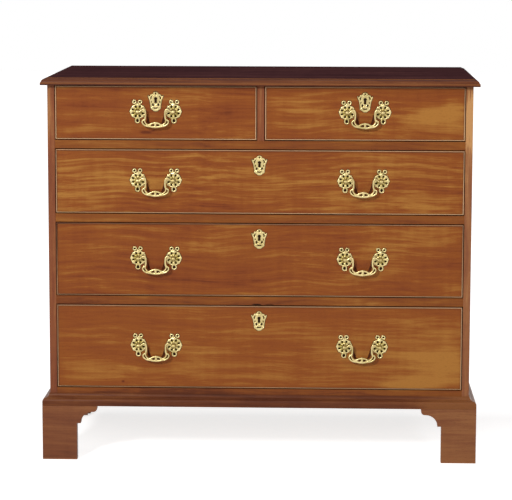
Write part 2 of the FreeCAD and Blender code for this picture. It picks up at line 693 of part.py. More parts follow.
    def lock(self):
        channel = self.bolt_space(BOLT_SLACK, self.z1 - BOLT_HIGH - BOLT_SLACK, self.z1)
        return cut(self.lock_block(), channel, self.keyhole(LOCK_FRONT, LOCK_CASE_DEEP))

    # -- all of it
    def nodes(self):
        """Every node of this drawer, by name."""
        z = self.pivot_z
        keyhole = self.keyhole(FACE - ESCUTCHEON_THICK, ESCUTCHEON_THICK)
        escutcheon = cut(escutcheon_blank(self.middle, self.key_z), keyhole)
        plates = []
        for x, to_bail in self.posts():
            plates += [handle_plate(x, z, to_bail), post(x, z)]
        made = {
            "front": [self.front()],
            "cockbead": self.cockbead(),
            "box": self.box_pieces(),
            "lock": [self.lock()],
            "lock_bolt": [self.bolt()],
            "escutcheon": [escutcheon],
            "handle_plates": plates,
        }
        for key, x in self.handles.items():
            made[key] = [bail(x, z)]
        return {f"{self.name}_{key}": solids for key, solids in made.items()}


def drawers():
    """The five drawers, from the top left."""
    cheek = PARTITION_THICK / 2.0
    split_left, split_right = PARTITION_X - cheek, PARTITION_X + cheek
    made = [
        Drawer("top_left", -INNER, split_left, TIERS[-1], {"bail": (split_left - INNER) / 2.0}),
        Drawer("top_right", split_right, INNER, TIERS[-1], {"bail": (split_right + INNER) / 2.0}),
    ]
    for name, tier in zip(("lower", "middle", "upper"), TIERS):
        made.append(Drawer(name, -INNER, INNER, tier, {"left_bail": -HANDLE_X, "right_bail": HANDLE_X}))
    return made


DRAWERS = drawers()


# ---- the whole ------------------------------------------------------------------------------------------
def case_nodes():
    side = side_board()
    moulding_front, moulding_side = base_moulding()
    front, rear = front_foot(), rear_foot()
    return {
        "top_board": [top_board()],
        "right_side": [side],
        "left_side": [mirror(side)],
        "bottom_board": [bottom_board()],
        "backboards": backboards(),
        "front_rails": [plinth_rail(), *drawer_rails()],
        "partition": partition(),
        "runners": runners(),
        "dustboards": [dustboard(*gap, DUST_SLACK) for gap in RAIL_GAPS],
        "drawer_stops": drawer_stops(),
        "base_moulding_front": [moulding_front],
        "base_moulding_right": [moulding_side],
        "base_moulding_left": [mirror(moulding_side)],
        "front_right_foot": front,
        "front_left_foot": [mirror(s) for s in front],
        "rear_right_foot": rear,
        "rear_left_foot": [mirror(s) for s in rear],
    }


def main():
    os.makedirs("parts", exist_ok=True)
    nodes = case_nodes()
    for drawer in DRAWERS:
        nodes.update(drawer.nodes())
    for name, solids in nodes.items():
        shape = solids[0] if len(solids) == 1 else Part.makeCompound(solids)
        shape.exportStep(f"parts/{name}.step")


main()
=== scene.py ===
"""Looks of a mahogany chest of drawers with cockbeaded fronts, pierced brasses and bracket feet."""

import json
import math

import bmesh
import bpy
import numpy as np
from mathutils import Matrix, Vector


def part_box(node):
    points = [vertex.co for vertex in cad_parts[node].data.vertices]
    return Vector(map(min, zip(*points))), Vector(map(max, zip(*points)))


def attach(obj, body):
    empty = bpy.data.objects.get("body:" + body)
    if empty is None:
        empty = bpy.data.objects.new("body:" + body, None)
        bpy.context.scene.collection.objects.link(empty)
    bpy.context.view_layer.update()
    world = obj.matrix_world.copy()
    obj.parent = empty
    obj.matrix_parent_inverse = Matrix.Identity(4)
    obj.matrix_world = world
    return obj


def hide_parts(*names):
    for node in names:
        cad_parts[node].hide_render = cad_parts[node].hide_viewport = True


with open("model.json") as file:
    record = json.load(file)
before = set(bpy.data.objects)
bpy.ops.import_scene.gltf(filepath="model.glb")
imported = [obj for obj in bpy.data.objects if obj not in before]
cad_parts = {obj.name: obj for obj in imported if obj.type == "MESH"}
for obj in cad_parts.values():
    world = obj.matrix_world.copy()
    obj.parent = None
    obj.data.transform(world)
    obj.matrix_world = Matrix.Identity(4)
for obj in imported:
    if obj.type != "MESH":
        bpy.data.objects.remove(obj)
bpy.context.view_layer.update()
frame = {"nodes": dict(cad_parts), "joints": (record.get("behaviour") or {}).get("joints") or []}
MM = 0.001


# ---- places taken from the frame ------------------------------------------------------------------------
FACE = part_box("partition")[0].y  # the plane of the drawer fronts and rails
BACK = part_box("left_side")[1].y
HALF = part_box("right_side")[1].x  # half the width over the sides
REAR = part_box("top_left_front")[1].y  # back of the drawer fronts
DRAWERS = ("top_left", "top_right", "upper", "middle", "lower")
PIVOTS = {j["child"]: np.array(j["pos_m"]) for j in frame["joints"] if j["type"] == "hinge"}
BAILS = {d: [b for b in PIVOTS if b.startswith(d + "_")] for d in DRAWERS}
POST = 44 * MM  # from the middle of a handle to each of its posts


# ---- mesh making ----------------------------------------------------------------------------------------
def net(rows, cols, close_rows=False, close_cols=False):
    """Four-cornered faces over a grid of rows x cols points, joined end to end where it closes on itself."""
    r = np.arange(rows if close_rows else rows - 1)[:, None]
    c = np.arange(cols if close_cols else cols - 1)[None, :]
    r2, c2 = (r + 1) % rows, (c + 1) % cols
    return np.stack([r * cols + c, r * cols + c2, r2 * cols + c2, r2 * cols + c], -1).reshape(-1, 4)


def outward(points, faces):
    """The same closed skin with its faces turned outwards: six times its volume is the sum of
    a . (b x c) over its triangles, and where that is negative every face is reversed."""
    six = 0.0
    for group in faces:
        for n in range(1, group.shape[1] - 1):
            a, b, c = points[group[:, 0]], points[group[:, n]], points[group[:, n + 1]]
            six += (a * np.cross(b, c)).sum()
    return points, faces if six > 0 else [group[:, ::-1] for group in faces]


def skinned(rings):
    """A closed solid over a run of equal closed outlines, (runs, points, 3), with a flat cap at each end."""
    runs, count = rings.shape[:2]
    last = (runs - 1) * count
    caps = np.stack([np.arange(count)[::-1], last + np.arange(count)])
    return outward(rings.reshape(-1, 3), [net(runs, count, close_cols=True), caps])


def joined(solids):
    """Several solids as one: points end to end, with each solid's corner numbers moved up to match."""
    points = np.concatenate([p for p, _ in solids])
    starts = np.cumsum([0] + [len(p) for p, _ in solids])
    return points, [group + start for (_, faces), start in zip(solids, starts) for group in faces]


def moved(solid, by):
    """The same solid with an offset added to every point."""
    return solid[0] + np.asarray(by), solid[1]


def mirrored(solid):
    """The same solid on the other side of x = 0."""
    return outward(solid[0] * (-1, 1, 1), solid[1])


def spun(stations, sides, axis, centre=(0, 0, 0), flutes=0, depth=0.0):
    """A turned solid from (along, radius) stations. Round the axis each radius is
    r * (1 + depth * cos(flutes * angle)), with the flutes dying out as the radius shrinks."""
    along, radius = np.asarray(stations, float).T
    angle = np.linspace(0, 2 * math.pi, sides, endpoint=False)
    fade = depth * (radius / radius.max()) ** 2
    reach = radius[:, None] * (1 + fade[:, None] * np.cos(flutes * angle)[None, :])
    rings = np.empty((len(along), sides, 3))
    rings[..., axis] = along[:, None]
    rings[..., (axis + 1) % 3] = reach * np.cos(angle)
    rings[..., (axis + 2) % 3] = reach * np.sin(angle)
    return skinned(rings + np.asarray(centre))


def piece(name, solid, material, body, stands_for=(), crease=40.0, share=None):
    """A mesh piece from a solid, smooth except where it turns by more than the crease, riding on a body.
    The share of each point, from 0 to 1, is how much dull or pale tone its finish shows there: on brass,
    patina and painted shade; on the beads, wear and a painted highlight."""
    points, faces = solid
    corners = np.concatenate([group.ravel() for group in faces])
    sizes = np.concatenate([np.full(len(group), group.shape[1]) for group in faces])
    mesh = bpy.data.meshes.new(name)
    mesh.vertices.add(len(points))
    mesh.vertices.foreach_set("co", np.asarray(points, np.float32).ravel())
    mesh.loops.add(len(corners))
    mesh.loops.foreach_set("vertex_index", corners.astype(np.int32))
    mesh.polygons.add(len(sizes))
    mesh.polygons.foreach_set("loop_start", (np.cumsum(sizes) - sizes).astype(np.int32))
    mesh.update(calc_edges=True)
    if share is not None:
        mesh.attributes.new("share", "FLOAT", "POINT").data.foreach_set("value", share.astype(np.float32))
    return placed(name, mesh, material, body, stands_for, crease)


def placed(name, mesh, material, body, stands_for=(), crease=40.0):
    """Closes a mesh's seams and poles, gives it its finish and puts it on its body."""
    work = bmesh.new()
    work.from_mesh(mesh)
    bmesh.ops.remove_doubles(work, verts=work.verts, dist=0.000004)
    work.to_mesh(mesh)
    work.free()
    mesh.polygons.foreach_set("use_smooth", np.ones(len(mesh.polygons), bool))
    mesh.set_sharp_from_angle(angle=math.radians(crease))
    mesh.materials.clear()
    mesh.materials.append(material)
    made = bpy.data.objects.new(name, mesh)
    bpy.context.scene.collection.objects.link(made)
    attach(made, body)
    if stands_for:
        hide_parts(*stands_for)
    return made


def softened(node, material, body="case", width=0.7, crease=32.0):
    """A CAD board with its sharp arrises eased: its triangles are joined into flat faces, and each edge
    that turns by more than 30 degrees gets a narrow rounded chamfer."""
    mesh = frame["nodes"][node].data.copy()
    work = bmesh.new()
    work.from_mesh(mesh)
    bmesh.ops.remove_doubles(work, verts=work.verts, dist=0.000002)
    bmesh.ops.dissolve_limit(work, angle_limit=math.radians(0.6), verts=work.verts, edges=work.edges)
    work.to_mesh(mesh)
    work.free()
    made = placed(node + "_worn", mesh, material, body, [node], crease)
    ease = made.modifiers.new("ease", "BEVEL")
    ease.width = width * MM
    ease.segments = 2
    ease.limit_method = "ANGLE"
    ease.angle_limit = math.radians(30)
    ease.harden_normals = True
    return made


# ---- finishes -------------------------------------------------------------------------------------------
def put(tree, kind, inputs=None, **settings):
    """A shader node with its settings, and its inputs set or joined up."""
    made = tree.nodes.new(kind)
    for name, value in settings.items():
        setattr(made, name, value)
    for name, value in (inputs or {}).items():
        if isinstance(value, bpy.types.NodeSocket):
            tree.links.new(value, made.inputs[name])
        else:
            made.inputs[name].default_value = value
    return made


def blank(name):
    """A new material, its node tree, its shader, and the places on its piece, in the frame at rest."""
    material = bpy.data.materials.new(name)
    material.use_nodes = True
    tree = material.node_tree
    place = put(tree, "ShaderNodeTexCoord").outputs["Object"]
    return material, tree, tree.nodes["Principled BSDF"], place


def reckon(tree, operation, *values, kind="Math", **settings):
    """One step of arithmetic on numbers, or on vectors where its kind is VectorMath."""
    wanted = dict(enumerate(values))
    return put(tree, "ShaderNode" + kind, wanted, operation=operation, **settings).outputs[0]


def noise(tree, vector, scale, detail=2.0, roughness=0.5, distortion=0.0):
    """Noise over coordinates stretched by a scale for each axis, in features to the metre."""
    stretched = reckon(tree, "MULTIPLY", vector, scale, kind="VectorMath")
    wanted = {"Vector": stretched, "Scale": 1.0, "Detail": detail}
    wanted |= {"Roughness": roughness, "Distortion": distortion}
    return put(tree, "ShaderNodeTexNoise", wanted).outputs["Fac"]


def blend(tree, a, b, share):
    """a * (1 - share) + b * share."""
    return reckon(tree, "MULTIPLY_ADD", b, share, reckon(tree, "MULTIPLY", a, 1.0 - share))


def mix(tree, share, low, high):
    """The low colour where the share is 0, the high one where it is 1, and evenly between."""
    wanted = {"Factor": share, 6: low, 7: high}
    return put(tree, "ShaderNodeMix", wanted, data_type="RGBA").outputs[2]


def ramp(tree, value, stops):
    """A colour for each value, from (position, colour) stops."""
    made = put(tree, "ShaderNodeValToRGB", {"Fac": value})
    elements = made.color_ramp.elements
    for n, (position, colour) in enumerate(stops):
        element = elements[n] if n < 2 else elements.new(position)
        element.position = position
        element.color = (*colour, 1.0)
    return made.outputs["Color"]


def span(tree, value, low, high, to_low=0.0, to_high=1.0):
    """value carried evenly from low..high to to_low..to_high, and held at the ends."""
    wanted = {"Value": value, "From Min": low, "From Max": high, "To Min": to_low, "To Max": to_high}
    return put(tree, "ShaderNodeMapRange", wanted).outputs["Result"]


def relief(tree, shader, height, strength, distance, invert=False):
    """Fine relief in a finish, from heights of 0 to 1, or from depths where it is inverted."""
    wanted = {"Strength": strength, "Distance": distance, "Height": height}
    bump = put(tree, "ShaderNodeBump", wanted, invert=invert)
    tree.links.new(bump.outputs[0], shader.inputs["Normal"])


def own_share(tree):
    """The share that the piece's points give."""
    return put(tree, "ShaderNodeAttribute", attribute_name="share").outputs["Fac"]


GRAIN = {"x": ("X", "Y", "Z"), "y": ("Y", "X", "Z"), "z": ("Z", "X", "Y")}  # along the grain, then across


def along_grain(tree, place, grain):
    """Coordinates with the grain's axis first, bent across it by a slow noise, 25 mm at the most."""
    split = put(tree, "ShaderNodeSeparateXYZ", {0: place})
    parts = {n: split.outputs[axis] for n, axis in enumerate(GRAIN[grain])}
    along = put(tree, "ShaderNodeCombineXYZ", parts).outputs[0]
    slow = put(tree, "ShaderNodeTexNoise", {"Vector": along, "Scale": 2.6, "Detail": 2.0}).outputs["Color"]
    centred = reckon(tree, "ADD", slow, (-0.5, -0.5, -0.5), kind="VectorMath")
    bend = reckon(tree, "MULTIPLY", centred, (0.0, 0.05, 0.05), kind="VectorMath")
    return reckon(tree, "ADD", along, bend, kind="VectorMath")


def patched(tree, place, value, patches):
    """The value lifted by strength * exp(-r) round each patch (x, z, half width, half height, strength),
    in millimetres on the plane of the front. r is the sum of ((x - x0) / half width)**2, the same for y,
    and ((z - z0) / half height)**2."""
    for x, z, wide, high, strength in patches:
        off = reckon(tree, "ADD", place, (-x * MM, -FACE, -z * MM), kind="VectorMath")
        shrink = (1 / (wide * MM), 1 / (wide * MM), 1 / (high * MM))
        off = reckon(tree, "MULTIPLY", off, shrink, kind="VectorMath")
        square = put(tree, "ShaderNodeVectorMath", {0: off, 1: off}, operation="DOT_PRODUCT")
        near = reckon(tree, "POWER", math.exp(-1), square.outputs["Value"])
        value = reckon(tree, "MULTIPLY_ADD", near, strength, value)
    return value


def timber(
    name, grain, tones, roughness=0.34, specular=0.12, wide=1.0, pore=0.3, figure=0.08, level=False,
    worn=None, patches=(), streaks=0.52, contrast=1.0,
):
    """Wood with its grain along an axis. Broad clouds, streaks and fine lines are noises drawn out along
    the grain; a faint cross figure shimmers over them, and short dark pores are the peaks of a very fine
    noise. Streaks is their share against the clouds, and contrast spreads the tones or draws them together.
    A level board also runs its grain along its second axis. A worn tone shows through by the share that
    the piece's points give; on the beads it is wear and a painted highlight on each nose."""
    material, tree, shader, place = blank(name)
    bent = along_grain(tree, place, grain)

    def drawn(length, across, **kind):
        """Noise by its features to the metre along the grain and across it."""
        second = length if level else across
        return noise(tree, bent, (length, second * wide, across * wide), **kind)

    cloud = drawn(3.4, 16.0, detail=3.0, distortion=0.3)
    streak = drawn(5.0, 105.0, detail=3.0, roughness=0.6)
    line = drawn(11.0, 430.0, detail=2.0, roughness=0.7)
    shimmer = drawn(55.0, 9.0, detail=2.0)
    value = blend(tree, blend(tree, cloud, streak, streaks), line, 0.18)
    value = blend(tree, value, shimmer, figure)
    if contrast != 1.0:
        value = span(tree, value, 0.0, 1.0, 0.5 - contrast / 2, 0.5 + contrast / 2)
    value = patched(tree, place, value, patches)
    colour = ramp(tree, span(tree, value, 0.34, 0.66), tones)
    prick = span(tree, drawn(140.0, 1900.0, detail=1.0), 0.60, 0.72)
    dark = (*(0.3 * c for c in tones[0][1]), 1.0)
    colour = mix(tree, reckon(tree, "MULTIPLY", prick, pore), colour, dark)
    if worn:
        colour = mix(tree, own_share(tree), colour, (*worn, 1.0))
    tree.links.new(colour, shader.inputs["Base Color"])
    rough = span(tree, streak, 0.3, 0.7, roughness - 0.05, roughness + 0.07)
    tree.links.new(rough, shader.inputs["Roughness"])
    shader.inputs["Specular IOR Level"].default_value = specular
    relief(tree, shader, blend(tree, line, prick, 0.5), 0.12, 0.0004, invert=True)
    return material


def brass(name, bright, dull, roughness=0.26, cast=True):
    """Polished brass with slow clouds of tarnish and faint casting pits. Where it is cast, it is also dull
    and olive by the share that its points give: patina in its hollows, and painted shade in its hollows,
    round its piercings, on its side walls and on the post heads."""
    material, tree, shader, place = blank(name)
    tarnish = span(tree, noise(tree, place, (60, 60, 60), detail=3.0), 0.42, 0.75, 0.0, 0.45)
    if cast:
        tarnish = reckon(tree, "ADD", tarnish, own_share(tree), use_clamp=True)
    colour = mix(tree, tarnish, (*bright, 1.0), (*dull, 1.0))
    tree.links.new(colour, shader.inputs["Base Color"])
    shader.inputs["Metallic"].default_value = 1.0
    tree.links.new(span(tree, tarnish, 0.0, 1.0, roughness, roughness + 0.25), shader.inputs["Roughness"])
    relief(tree, shader, noise(tree, place, (900, 900, 900)), 0.15, 0.0002)
    return material


def dark_film_finish(name, low, high):
    """A dark, a little patchy finish: old polish and dust, and painted shade under and round the brasses, in
    the keyholes and behind the bails.
    """
    material, tree, shader, place = blank(name)
    patches = noise(tree, place, (300, 300, 300), detail=3.0)
    tree.links.new(ramp(tree, patches, [(0.3, low), (0.7, high)]), shader.inputs["Base Color"])
    tree.links.new(span(tree, patches, 0.3, 0.7, 0.7, 0.9), shader.inputs["Roughness"])
    shader.inputs["Specular IOR Level"].default_value = 0.05
    return material


def iron(name):
    """Filed wrought iron: dark, a little brown, with file marks across it."""
    material, tree, shader, place = blank(name)
    marks = noise(tree, place, (1800, 60, 90))
    rust = span(tree, noise(tree, place, (70, 70, 70), detail=4.0), 0.5, 0.7)
    colour = mix(tree, rust, (0.16, 0.15, 0.14, 1.0), (0.10, 0.055, 0.035, 1.0))
    tree.links.new(colour, shader.inputs["Base Color"])
    shader.inputs["Metallic"].default_value = 0.8
    tree.links.new(span(tree, marks, 0.3, 0.7, 0.38, 0.6), shader.inputs["Roughness"])
    relief(tree, shader, marks, 0.2, 0.0002)
    return material


# Tones of each wood from its dark figure to its pale, as (position, colour).
FRONT_TONES = [
    (0.0, (0.150, 0.032, 0.009)), (0.28, (0.235, 0.056, 0.013)), (0.62, (0.292, 0.082, 0.015)),
    (1.0, (0.430, 0.180, 0.036)),
]
RAIL_TONES = [
    (0.0, (0.120, 0.030, 0.010)), (0.28, (0.215, 0.058, 0.014)), (0.62, (0.272, 0.084, 0.016)),
    (1.0, (0.400, 0.165, 0.036)),
]
LEFT_TONES = [
    (0.0, (0.130, 0.036, 0.016)), (0.35, (0.215, 0.061, 0.026)), (0.65, (0.270, 0.085, 0.033)),
    (1.0, (0.380, 0.160, 0.058)),
]
RIGHT_TONES = [
    (0.0, (0.170, 0.050, 0.024)), (0.35, (0.265, 0.092, 0.040)), (0.65, (0.330, 0.128, 0.050)),
    (0.85, (0.390, 0.165, 0.064)), (1.0, (0.590, 0.300, 0.115)),
]
FOOT_TONES = [
    (0.0, (0.130, 0.043, 0.021)), (0.35, (0.198, 0.065, 0.028)), (0.65, (0.236, 0.083, 0.034)),
    (1.0, (0.300, 0.120, 0.046)),
]
MOULDING_TONES = [
    (0.0, (0.065, 0.018, 0.008)), (0.35, (0.112, 0.030, 0.012)), (0.65, (0.155, 0.045, 0.015)),
    (1.0, (0.240, 0.085, 0.027)),
]
# The top's upper face: mahogany darkened to a purple-brown that stands for a painted dark reflection, with
# its gloss turned off.
TOP_FACE_TONES_PAINTED_REFLECTION = [
    (0.0, (0.040, 0.016, 0.019)), (0.4, (0.078, 0.030, 0.033)), (0.7, (0.104, 0.039, 0.041)),
    (1.0, (0.170, 0.070, 0.058)),
]
BEAD_TONES = [
    (0.0, (0.060, 0.020, 0.012)), (0.35, (0.120, 0.038, 0.018)), (0.65, (0.190, 0.062, 0.026)),
    (1.0, (0.300, 0.120, 0.045)),
]
OAK_TONES = [
    (0.0, (0.140, 0.068, 0.028)), (0.4, (0.275, 0.150, 0.062)), (0.7, (0.360, 0.210, 0.092)),
    (1.0, (0.470, 0.295, 0.145)),
]
PINE_TONES = [
    (0.0, (0.130, 0.052, 0.020)), (0.4, (0.290, 0.132, 0.050)), (0.7, (0.360, 0.180, 0.070)),
    (1.0, (0.460, 0.255, 0.115)),
]

# Where each wood is paler (or, below 0, darker): (x, z, half width, half height, strength), in millimetres.
FRONT_PATCHES = [
    (-419, 858, 70, 12, 0.04), (-419, 838, 60, 7, 0.05), (-436, 700, 95, 55, 0.08), (127, 884, 60, 10, 0.08),
    (428, 864, 75, 28, 0.19), (433, 655, 80, 30, 0.09), (-412, 232, 95, 20, 0.06), (-118, 276, 60, 12, 0.08),
    (430, 268, 80, 16, 0.17), (410, 206, 95, 14, 0.22), (450, 236, 70, 14, 0.17), (-400, 890, 90, 12, -0.10),
    (-60, 600, 110, 10, 0.05), (300, 470, 120, 14, 0.05), (-281, 825, 12, 3, -0.3), (0, 702, 900, 72, 0.05),
    (100, 285, 900, 90, 0.045), (335, 560, 130, 35, 0.08), (360, 326, 140, 30, 0.09),
    (240, 240, 110, 30, 0.06), (-250, 450, 90, 20, -0.05), (-340, 770, 120, 14, -0.05),
    (-341, 198, 3, 2, -0.4), (-263, 829, 6, 2, -0.2), (477, 882, 22, 40, 0.10), (245, 885, 50, 25, 0.05),
    (472, 276, 30, 35, 0.06), (360, 192, 60, 8, 0.14), (122, 579, 90, 12, 0.05), (272, 528, 35, 20, 0.06),
    (-50, 276, 250, 12, 0.03), (-415, 915, 80, 12, -0.08),
]
RAIL_PATCHES = [
    (-360, 168, 330, 16, -0.16), (-150, 402, 300, 14, -0.07), (200, 796, 160, 6, -0.02),
    (-330, 794, 160, 6, -0.02), (250, 609, 260, 9, 0.04), (380, 609, 60, 9, -0.06), (-357, 609, 40, 6, 0.06),
    (-200, 796, 60, 6, 0.05), (300, 402, 200, 12, 0.03), (-220, 402, 90, 10, -0.08), (295, 402, 40, 8, 0.05),
]
LEFT_PATCHES = [(-520, 880, 12, 60, 0.14)]
RIGHT_PATCHES = [
    (518, 862, 16, 75, 0.16), (524, 862, 5, 75, 0.14), (514, 760, 10, 160, 0.06), (518, 480, 16, 180, 0.05),
]
WHOLE = 3000  # half width of a patch that runs from end to end
# Along the top's moulded edge: the two pale bands on its arrises are painted highlights, and the dark band
# under it is painted shade.
EDGE_PAINTED_HIGHLIGHTS_AND_SHADE = [(0, 958.0, WHOLE, 1.2, 0.5), (0, 946.6, WHOLE, 1.2, 0.5), (0, 942.0, WHOLE, 1.0, -0.2)]
MOULDING_PATCHES = [(540, 130, 150, 300, 0.28)]
FOOT_PATCHES = [(500, 60, 120, 300, 0.10), (0, 1, WHOLE, 2.4, 0.3)]
PINE_PATCHES = [(0, 850, WHOLE, 70, 0.06), (0, 630, WHOLE, 60, -0.05), (0, 260, WHOLE, 90, 0.05)]

veneer = timber("polished_front_mahogany", "x", FRONT_TONES, patches=FRONT_PATCHES)
streaky_veneer = timber(
    "streaky_front_mahogany", "x", FRONT_TONES, patches=FRONT_PATCHES, streaks=0.66, contrast=1.1
)
plain_veneer = timber("plain_front_mahogany", "x", FRONT_TONES, patches=FRONT_PATCHES, contrast=0.72)
rail_wood = timber("polished_rail_mahogany", "x", RAIL_TONES, patches=RAIL_PATCHES)
left_wood = timber("polished_left_mahogany", "z", LEFT_TONES, patches=LEFT_PATCHES)
right_wood = timber("polished_right_mahogany", "z", RIGHT_TONES, patches=RIGHT_PATCHES)
foot_wood = timber("polished_foot_mahogany", "x", FOOT_TONES, level=True, patches=FOOT_PATCHES)
moulding_wood = timber(
    "polished_moulding_mahogany", "x", MOULDING_TONES, level=True, patches=MOULDING_PATCHES
)
top_face_painted_reflection = timber("top_mahogany_with_painted_dark_reflection", "x", TOP_FACE_TONES_PAINTED_REFLECTION, roughness=0.5, specular=0.0)
edge_wood = timber("polished_edge_mahogany", "x", MOULDING_TONES, level=True, patches=EDGE_PAINTED_HIGHLIGHTS_AND_SHADE)
# The beads' pale nose tone stands for wear and for a painted highlight along each nose.
bead_wear_and_highlight_wood = timber("bead_mahogany_wear_and_painted_highlight", "x", BEAD_TONES, specular=0.1, wide=0.5, worn=(0.98, 0.64, 0.36))
oak = timber("dry_oak", "y", OAK_TONES, roughness=0.62, specular=0.25, figure=0.06, pore=0.6)
oak_across = timber("dry_oak_across", "x", OAK_TONES, roughness=0.62, specular=0.25, figure=0.06, pore=0.6)
pine = timber(
    "dry_pine", "x", PINE_TONES, roughness=0.66, specular=0.2, wide=0.9, figure=0.02, pore=0.1,
    patches=PINE_PATCHES,
)
# The dull olive tone shows by each point's share: patina in the hollows, and painted shade there and on rims
# and walls.
cast_brass = brass("cast_brass", (0.68, 0.555, 0.27), (0.20, 0.145, 0.018))
plate_brass = brass("dull_lock_brass", (0.46, 0.33, 0.13), (0.16, 0.11, 0.04), roughness=0.4, cast=False)
wrought_iron = iron("wrought_iron")
# Near-black film finish: old polish and dirt, and painted shade round and under the brasses and in the
# keyholes.
polish_and_shade_film = dark_film_finish("dirt_polish_and_painted_shade", (0.012, 0.005, 0.003), (0.034, 0.013, 0.006))
# Dark mahogany behind the bails: a patina mark and a painted shadow of each bail.
patina_and_shadow_finish = dark_film_finish("mahogany_patina_and_painted_shadow", (0.060, 0.017, 0.007), (0.095, 0.026, 0.009))


# ---- case: the boards -----------------------------------------------------------------------------------
softened("left_side", left_wood)
softened("partition", left_wood)
softened("right_side", right_wood)
softened("front_rails", rail_wood, width=0.5)
top = softened("top_board", edge_wood, width=0.8).data
softened("front_right_foot", foot_wood, width=0.9)
softened("front_left_foot", foot_wood, width=0.9)
# its upper face takes the dark tones of a painted reflection in place of a real one
top.materials.append(top_face_painted_reflection)
normals = np.empty(3 * len(top.polygons), np.float32)
top.polygons.foreach_get("normal", normals)
top.polygons.foreach_set("material_index", (normals[2::3] > 0.9).astype(np.int32))  # its upper face


def dress(node, material):
    """Gives a CAD node that is shown as it is its finish."""
    mesh = frame["nodes"][node].data
    mesh.materials.clear()
    mesh.materials.append(material)


def grain_across(node):
    """Turns the grain of a drawer's back board, the last 9 mm of its box, to run across."""
    mesh = frame["nodes"][node].data
    mesh.materials.append(oak_across)
    middles = np.empty(3 * len(mesh.polygons), np.float32)
    mesh.polygons.foreach_get("center", middles)
    in_back = middles[1::3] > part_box(node)[1].y - 9.1 * MM
    mesh.polygons.foreach_set("material_index", in_back.astype(np.int32))


dress("rear_right_foot", foot_wood)
dress("rear_left_foot", foot_wood)
dress("bottom_board", oak)
dress("runners", oak)
dress("drawer_stops", oak)
dress("dustboards", pine)
dress("backboards", pine)
VENEERS = {"upper": streaky_veneer, "lower": plain_veneer}
for drawer in DRAWERS:
    dress(drawer + "_front", VENEERS.get(drawer, veneer))
    dress(drawer + "_box", oak)
    grain_across(drawer + "_box")
    dress(drawer + "_lock", plate_brass)
    dress(drawer + "_lock_bolt", wrought_iron)


# ---- case: base moulding --------------------------------------------------------------------------------
def quarter(cx, cz, rx, rz, start, count=9):
    """Points on a quarter of an ellipse round (cx, cz), from the start angle in degrees, clockwise if the
    count is negative."""
    turn = math.radians(90.0 if count > 0 else -90.0)
    a = math.radians(start) + np.linspace(0, turn, abs(count))
    return np.stack([cx + rx * np.cos(a), cz + rz * np.sin(a)], -1)


def base_profile():
    """(out, up) points in millimetres: square face with eased arrises, ovolo, step, cavetto and ledge."""
    return np.concatenate([
        [(0.0, 0.0), (17.4, 0.0)], quarter(17.4, 0.6, 0.6, 0.6, -90, 4)[1:], quarter(10.5, 11.0, 7.5, 8.0, 0),
        [(8.7, 19.0), (8.7, 20.4)], quarter(8.3, 20.4, 0.4, 0.4, 0, 3)[1:],
        quarter(8.7, 29.8, 6.7, 9.0, -93, -9)[1:], [(0.0, 29.8)],
    ])


def mitred(profile, low, ends):
    """One length of moulding: at a distance out from the case, each end is at ends[n] + out * slope[n]."""
    out, up = (profile * MM).T
    rings = [np.stack([x + out * sx, y + out * sy, low + up], -1) for (x, y), (sx, sy) in ends]
    return skinned(np.stack(rings))


BASE_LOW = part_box("base_moulding_front")[0].z
LENGTHS = {  # the two ends of each length, as a corner and its slope in x and y
    "front": [((-HALF, FACE), (-1, -1)), ((HALF, FACE), (1, -1))],
    "right": [((HALF, FACE), (1, -1)), ((HALF, BACK), (1, 0))],
    "left": [((-HALF, FACE), (-1, -1)), ((-HALF, BACK), (-1, 0))],
}
for side, ends in LENGTHS.items():
    node = "base_moulding_" + side
    solid = mitred(base_profile(), BASE_LOW, ends)
    piece(node + "_run", solid, moulding_wood, "case", [node], 28)


# ---- cockbeads ------------------------------------------------------------------------------------------
NOSE_WEAR_AND_HIGHLIGHT = {  # how worn the lower, right, upper and left strips are; the pale noses are also painted highlights
    "top_left": (0.45, 0.95, 0.0, 0.95),
    "top_right": (0.50, 0.75, 0.0, 1.0),
    "upper": (0.50, 0.80, 0.06, 0.60),
    "middle": (0.80, 0.50, 0.0, 0.05),
    "lower": (1.0, 0.40, 0.60, 0.12),
}
GROOVE = np.array([2.4, 0.8, 0.3, 0.8]) * MM  # outside the lower, right, upper and left strips
BEAD_IN = np.array([4.3, 3.2, 3.1, 3.2]) * MM  # from the same outer edge to each strip's inner side
NOSE = 1.2 * MM  # how far a strip's round nose stands before its sides


def cockbead(drawer):
    """Four strips round a drawer front. Each strip's section, (inset, y), is drawn between two corners,
    and both strips at a corner run to the same points there, inset by each one's own amount, so they are
    mitred by themselves. Also gives the wear on each nose, full at the crown, which is also a painted
    highlight there."""
    low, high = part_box(drawer + "_cockbead")
    a = np.linspace(0, math.pi, 13)
    share = np.concatenate([0.5 - 0.5 * np.cos(a), [1.0, 0.0]])
    y = np.concatenate([low.y + NOSE - NOSE * np.sin(a), [high.y, high.y]])
    inset = GROOVE[:, None] + (BEAD_IN - GROOVE)[:, None] * share
    cx, cz = (low.x + high.x) / 2, (low.z + high.z) / 2
    hx, hz = (high.x - low.x) / 2, (high.z - low.z) / 2
    corners = [(-1, -1, 3, 0), (1, -1, 1, 0), (1, 1, 1, 2), (-1, 1, 3, 2), (-1, -1, 3, 0)]
    rings = [
        np.stack([cx + sx * (hx - inset[side]), y, cz + sz * (hz - inset[level])], -1)
        for sx, sz, side, level in corners
    ]
    crown_rub_and_highlight = np.concatenate([np.sin(a) ** 1.4, [0.0, 0.0]])
    # the pale tone on each nose: wear and a painted highlight
    wear = np.concatenate([np.tile(crown_rub_and_highlight * worn, 2) for worn in NOSE_WEAR_AND_HIGHLIGHT[drawer]])
    return joined([skinned(np.stack(pair)) for pair in zip(rings, rings[1:])]), wear


